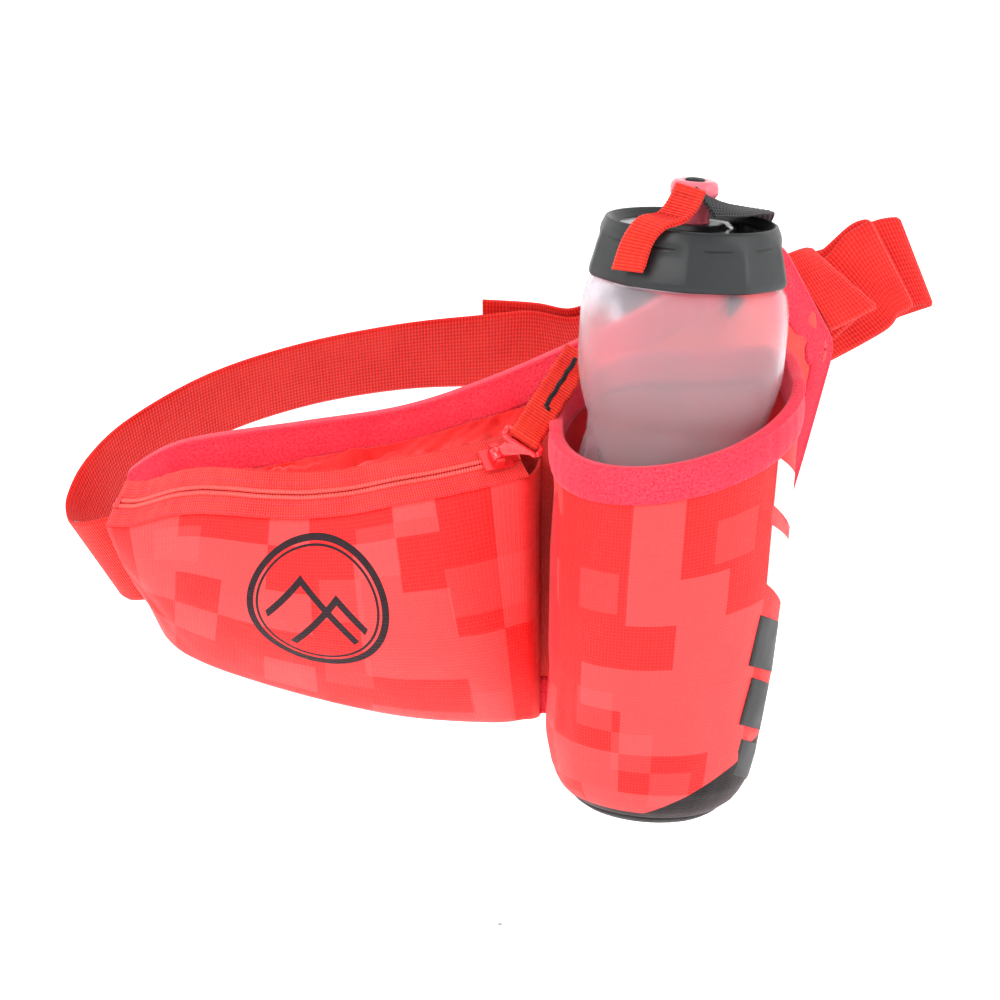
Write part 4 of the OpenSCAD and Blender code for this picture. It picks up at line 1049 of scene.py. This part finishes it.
def in_buckle(p):
    return np.asarray(p, float) @ BUCKLE_TURN.T + BUCKLE_CENTRE


down = (BUCKLE_TURN @ -UP).tolist()
left_top = [[-124, 19.5, 92.5], [-145, 26, 85.4], [-158, 33, 80.5], [-165.5, 41.5, 79.5], [-167, 50, 86.5],
            [-160, 57, 99.5], [-145, 70, 112.3], [-115, 84, 127.3], [-79, 92, 137.9], [-40, 95, 145.2],
            [-5, 95.5, 149], [12, 96, 150.3]]
left_top += [in_buckle([x, y, BELT / 2]).tolist() for x, y in
             ((-38, -2.6), (-BAR_X, -LOOP_R), (-BAR_X + LOOP_R, 0), (-BAR_X, LOOP_R), (-38, 4.2))]
left_top += [[14, 101.5, 152.8], [-7, 101, 154.2]]
left_down = [[0.6, 0.05, -0.8], [0.58, 0.05, -0.82], [0.55, 0.05, -0.83], [0.53, 0.08, -0.84], [0.42, 0.24, -0.87],
             [0.25, 0.45, -0.86], [0.08, 0.55, -0.83], [0, 0.58, -0.81], [0, 0.6, -0.8], [0, 0.57, -0.82],
             [0, 0.5, -0.87], [0, 0.46, -0.89]] + [down] * 5 + [[0, 0.45, -0.89], [0, 0.48, -0.88]]
right_top = [[105, 22.8, 184.5], [111, 27, 186], [114.5, 32.5, 185.6], [110, 38.5, 182], [100, 42.5, 173],
             [92, 46, 165], [99, 50, 166], [122, 54.5, 177.5], [131, 57.5, 186.5], [140.5, 62, 191.5],
             [134, 66.5, 189], [118, 68, 175], [94, 69.8, 165], [101, 73.6, 166], [126, 75, 178],
             [143, 76.5, 188.5], [154, 80.5, 190], [148, 85.5, 186.6], [139.5, 87, 183], [124, 89, 175.5]]
right_top += [in_buckle([x, y, BELT / 2]).tolist() for x, y in
              ((42, -2.2), (BAR_X, -LOOP_R), (BAR_X - LOOP_R, 0), (BAR_X, LOOP_R), (42, 3))]
right_down = [[0.5, 0.3, -0.81], [0.6, 0.28, -0.75], [0.72, 0.25, -0.64], [0.72, 0.25, -0.65], [0.66, 0.2, -0.72],
              [0.62, 0.15, -0.77], [0.62, 0.1, -0.78], [0.66, 0.08, -0.75], [0.58, 0.04, -0.81], [0.47, 0, -0.88],
              [0.55, 0, -0.83], [0.65, 0, -0.76], [0.6, 0, -0.8], [0.6, 0, -0.8], [0.6, 0, -0.8], [0.48, 0, -0.88],
              [0.39, 0.02, -0.92], [0.38, 0.03, -0.92], [0.36, 0.06, -0.93], [0.33, 0.2, -0.92]] + [down] * 5

profile = ribbon(BELT, BELT_THICK, 27)
stations = strap_stations(left_top, left_down, 420)
left_strap = loft_piece("belt_webbing_left", strap_points(stations, profile), None, webbing,
                        replaced=("belt_strap_left",), slot="coral_webbing")
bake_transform(left_strap)
stations = strap_stations(right_top, right_down, 460)
loft_piece("belt_webbing_right", strap_points(stations, profile), "pack", webbing, replaced=("belt_strap_right",),
           slot="coral_webbing")

across = np.linspace(0.8, BELT - 0.8, 24)
narrow = mix(1.0, 0.45, smooth(across / BELT))
middle = strap_stations(left_top, left_down, 3, 0.139, 0.141)
band = []
for s in np.linspace(-1, 1, 7):
    centre = middle[0][1] + middle[1][1] * across[:, None]
    band.append(centre + middle[3][1] * (s * 2.7 * narrow)[:, None] - middle[2][1] * 1.0)
sheet_piece("belt_reflective_stripe", np.array(band), "pack", reflective, -middle[2][1], thick=0.3, inward=0,
            replaced=("reflective_stripe",), slot="reflective")


def band_ring(centre, angles, deep, tall, width, wall):
    """Rounded band of elastic round the folded webbing."""
    a = np.linspace(0, 2 * math.pi, 72, endpoint=False)
    y = np.sign(np.cos(a)) * np.abs(np.cos(a)) ** 0.28 * deep / 2
    z = np.sign(np.sin(a)) * np.abs(np.sin(a)) ** 0.28 * tall / 2
    out = unit(np.column_stack([0 * a, y / deep, z / tall]))
    ring = np.column_stack([0 * a, y, z])
    section = ribbon(width, wall, 15)
    p = ring[:, None] + RIGHT * (section[None, :, :1] - width / 2) + out[:, None] * (section[None, :, 1:] + wall / 2)
    return p @ turn(angles).T + centre


loft_piece("strap_keeper_band", band_ring(np.array([108, 58, 153.5]), [0, -39, 0], 34.6, 39, 10, 1.2), "pack", webbing,
           loop=True, replaced=("strap_keeper",), slot="coral_webbing")


# ---- CAD nodes kept, with their finish ----

finishes = {"zip_slider": red_enamel, "zip_end_stops": red_enamel, "cap_seal": seal_rubber,
            "retention_anchor": elastic, "buckle_female": black_acetal, "buckle_male": black_acetal,
            "buckle_arm_upper": black_acetal, "buckle_arm_lower": black_acetal}
for name, material in finishes.items():
    nodes[name].data.materials.clear()
    nodes[name].data.materials.append(material)
bevels = {"buckle_female": 0.0006, "buckle_male": 0.0006, "buckle_arm_upper": 0.0006, "buckle_arm_lower": 0.0006,
          "zip_slider": 0.0003}
for name, width in bevels.items():
    bevel = nodes[name].modifiers.new("Edges", "BEVEL")
    bevel.width = width
    bevel.segments = 2
    bevel.limit_method = "ANGLE"


# ---- Stage ----

def backdrop():
    """Pale floor that curves up into a wall all round."""
    floor, cove, wall, drop = 2400, 900, 3300.0, 70
    flat = np.linspace(1, floor, 8)
    bend = np.linspace(0.1, math.pi / 2, 14)
    r = np.concatenate([flat, floor + cove * np.sin(bend), np.full(4, wall)])
    z = np.concatenate([0 * flat, cove * (1 - np.cos(bend)), np.linspace(1200, wall, 4)]) - drop
    a = np.linspace(0, 2 * math.pi, 96, endpoint=False)
    p = np.stack([r[:, None] * np.cos(a), r[:, None] * np.sin(a), z[:, None] + 0 * a], -1)
    m = Material("pale_floor", (0.94, 0.94, 0.94), 0.9)
    m.shader.inputs["Emission Color"].default_value = (1, 1, 1, 1)
    m.shader.inputs["Emission Strength"].default_value = 0.45
    quads, _ = grid_faces(*p.shape[:2], wrap_cols=True)
    mesh_piece("backdrop", p.reshape(-1, 3), quads.tolist(), None, m.material)


def area_light(name, place, aim, size, power):
    data = bpy.data.lights.new(name, "AREA")
    data.shape = "RECTANGLE"
    data.size, data.size_y = size
    data.energy = power
    lamp = bpy.data.objects.new(name, data)
    lamp.location = place
    lamp.rotation_mode = "QUATERNION"
    lamp.rotation_quaternion = (Vector(aim) - Vector(place)).to_track_quat("-Z", "Y")
    bpy.context.scene.collection.objects.link(lamp)


backdrop()
world = bpy.data.worlds.new("studio")
world.use_nodes = True
world.node_tree.nodes["Background"].inputs[0].default_value = (1, 1, 1, 1)
world.node_tree.nodes["Background"].inputs[1].default_value = 0.42
bpy.context.scene.world = world
area_light("key", (-0.75, -1.0, 0.95), (0, 0, 0), (0.9, 0.7), 11)
area_light("side", (1.1, -0.55, 0.45), (0.03, -0.05, 0), (0.5, 0.9), 4.5)
area_light("top", (0.1, 0.1, 1.2), (0, 0, 0), (1.0, 0.8), 4.5)

camera = bpy.data.cameras.new("camera")
camera.lens = 101.9
camera.sensor_width = 36
eye = bpy.data.objects.new("camera", camera)
eye.location = (0.010, -1.0603, 0.2389)
eye.rotation_mode = "QUATERNION"
eye.rotation_quaternion = (Vector((0.010, -0.090, -0.003)) - eye.location).to_track_quat("-Z", "Y")
bpy.context.scene.collection.objects.link(eye)
bpy.context.scene.camera = eye
bpy.context.scene.view_settings.view_transform = "Standard"
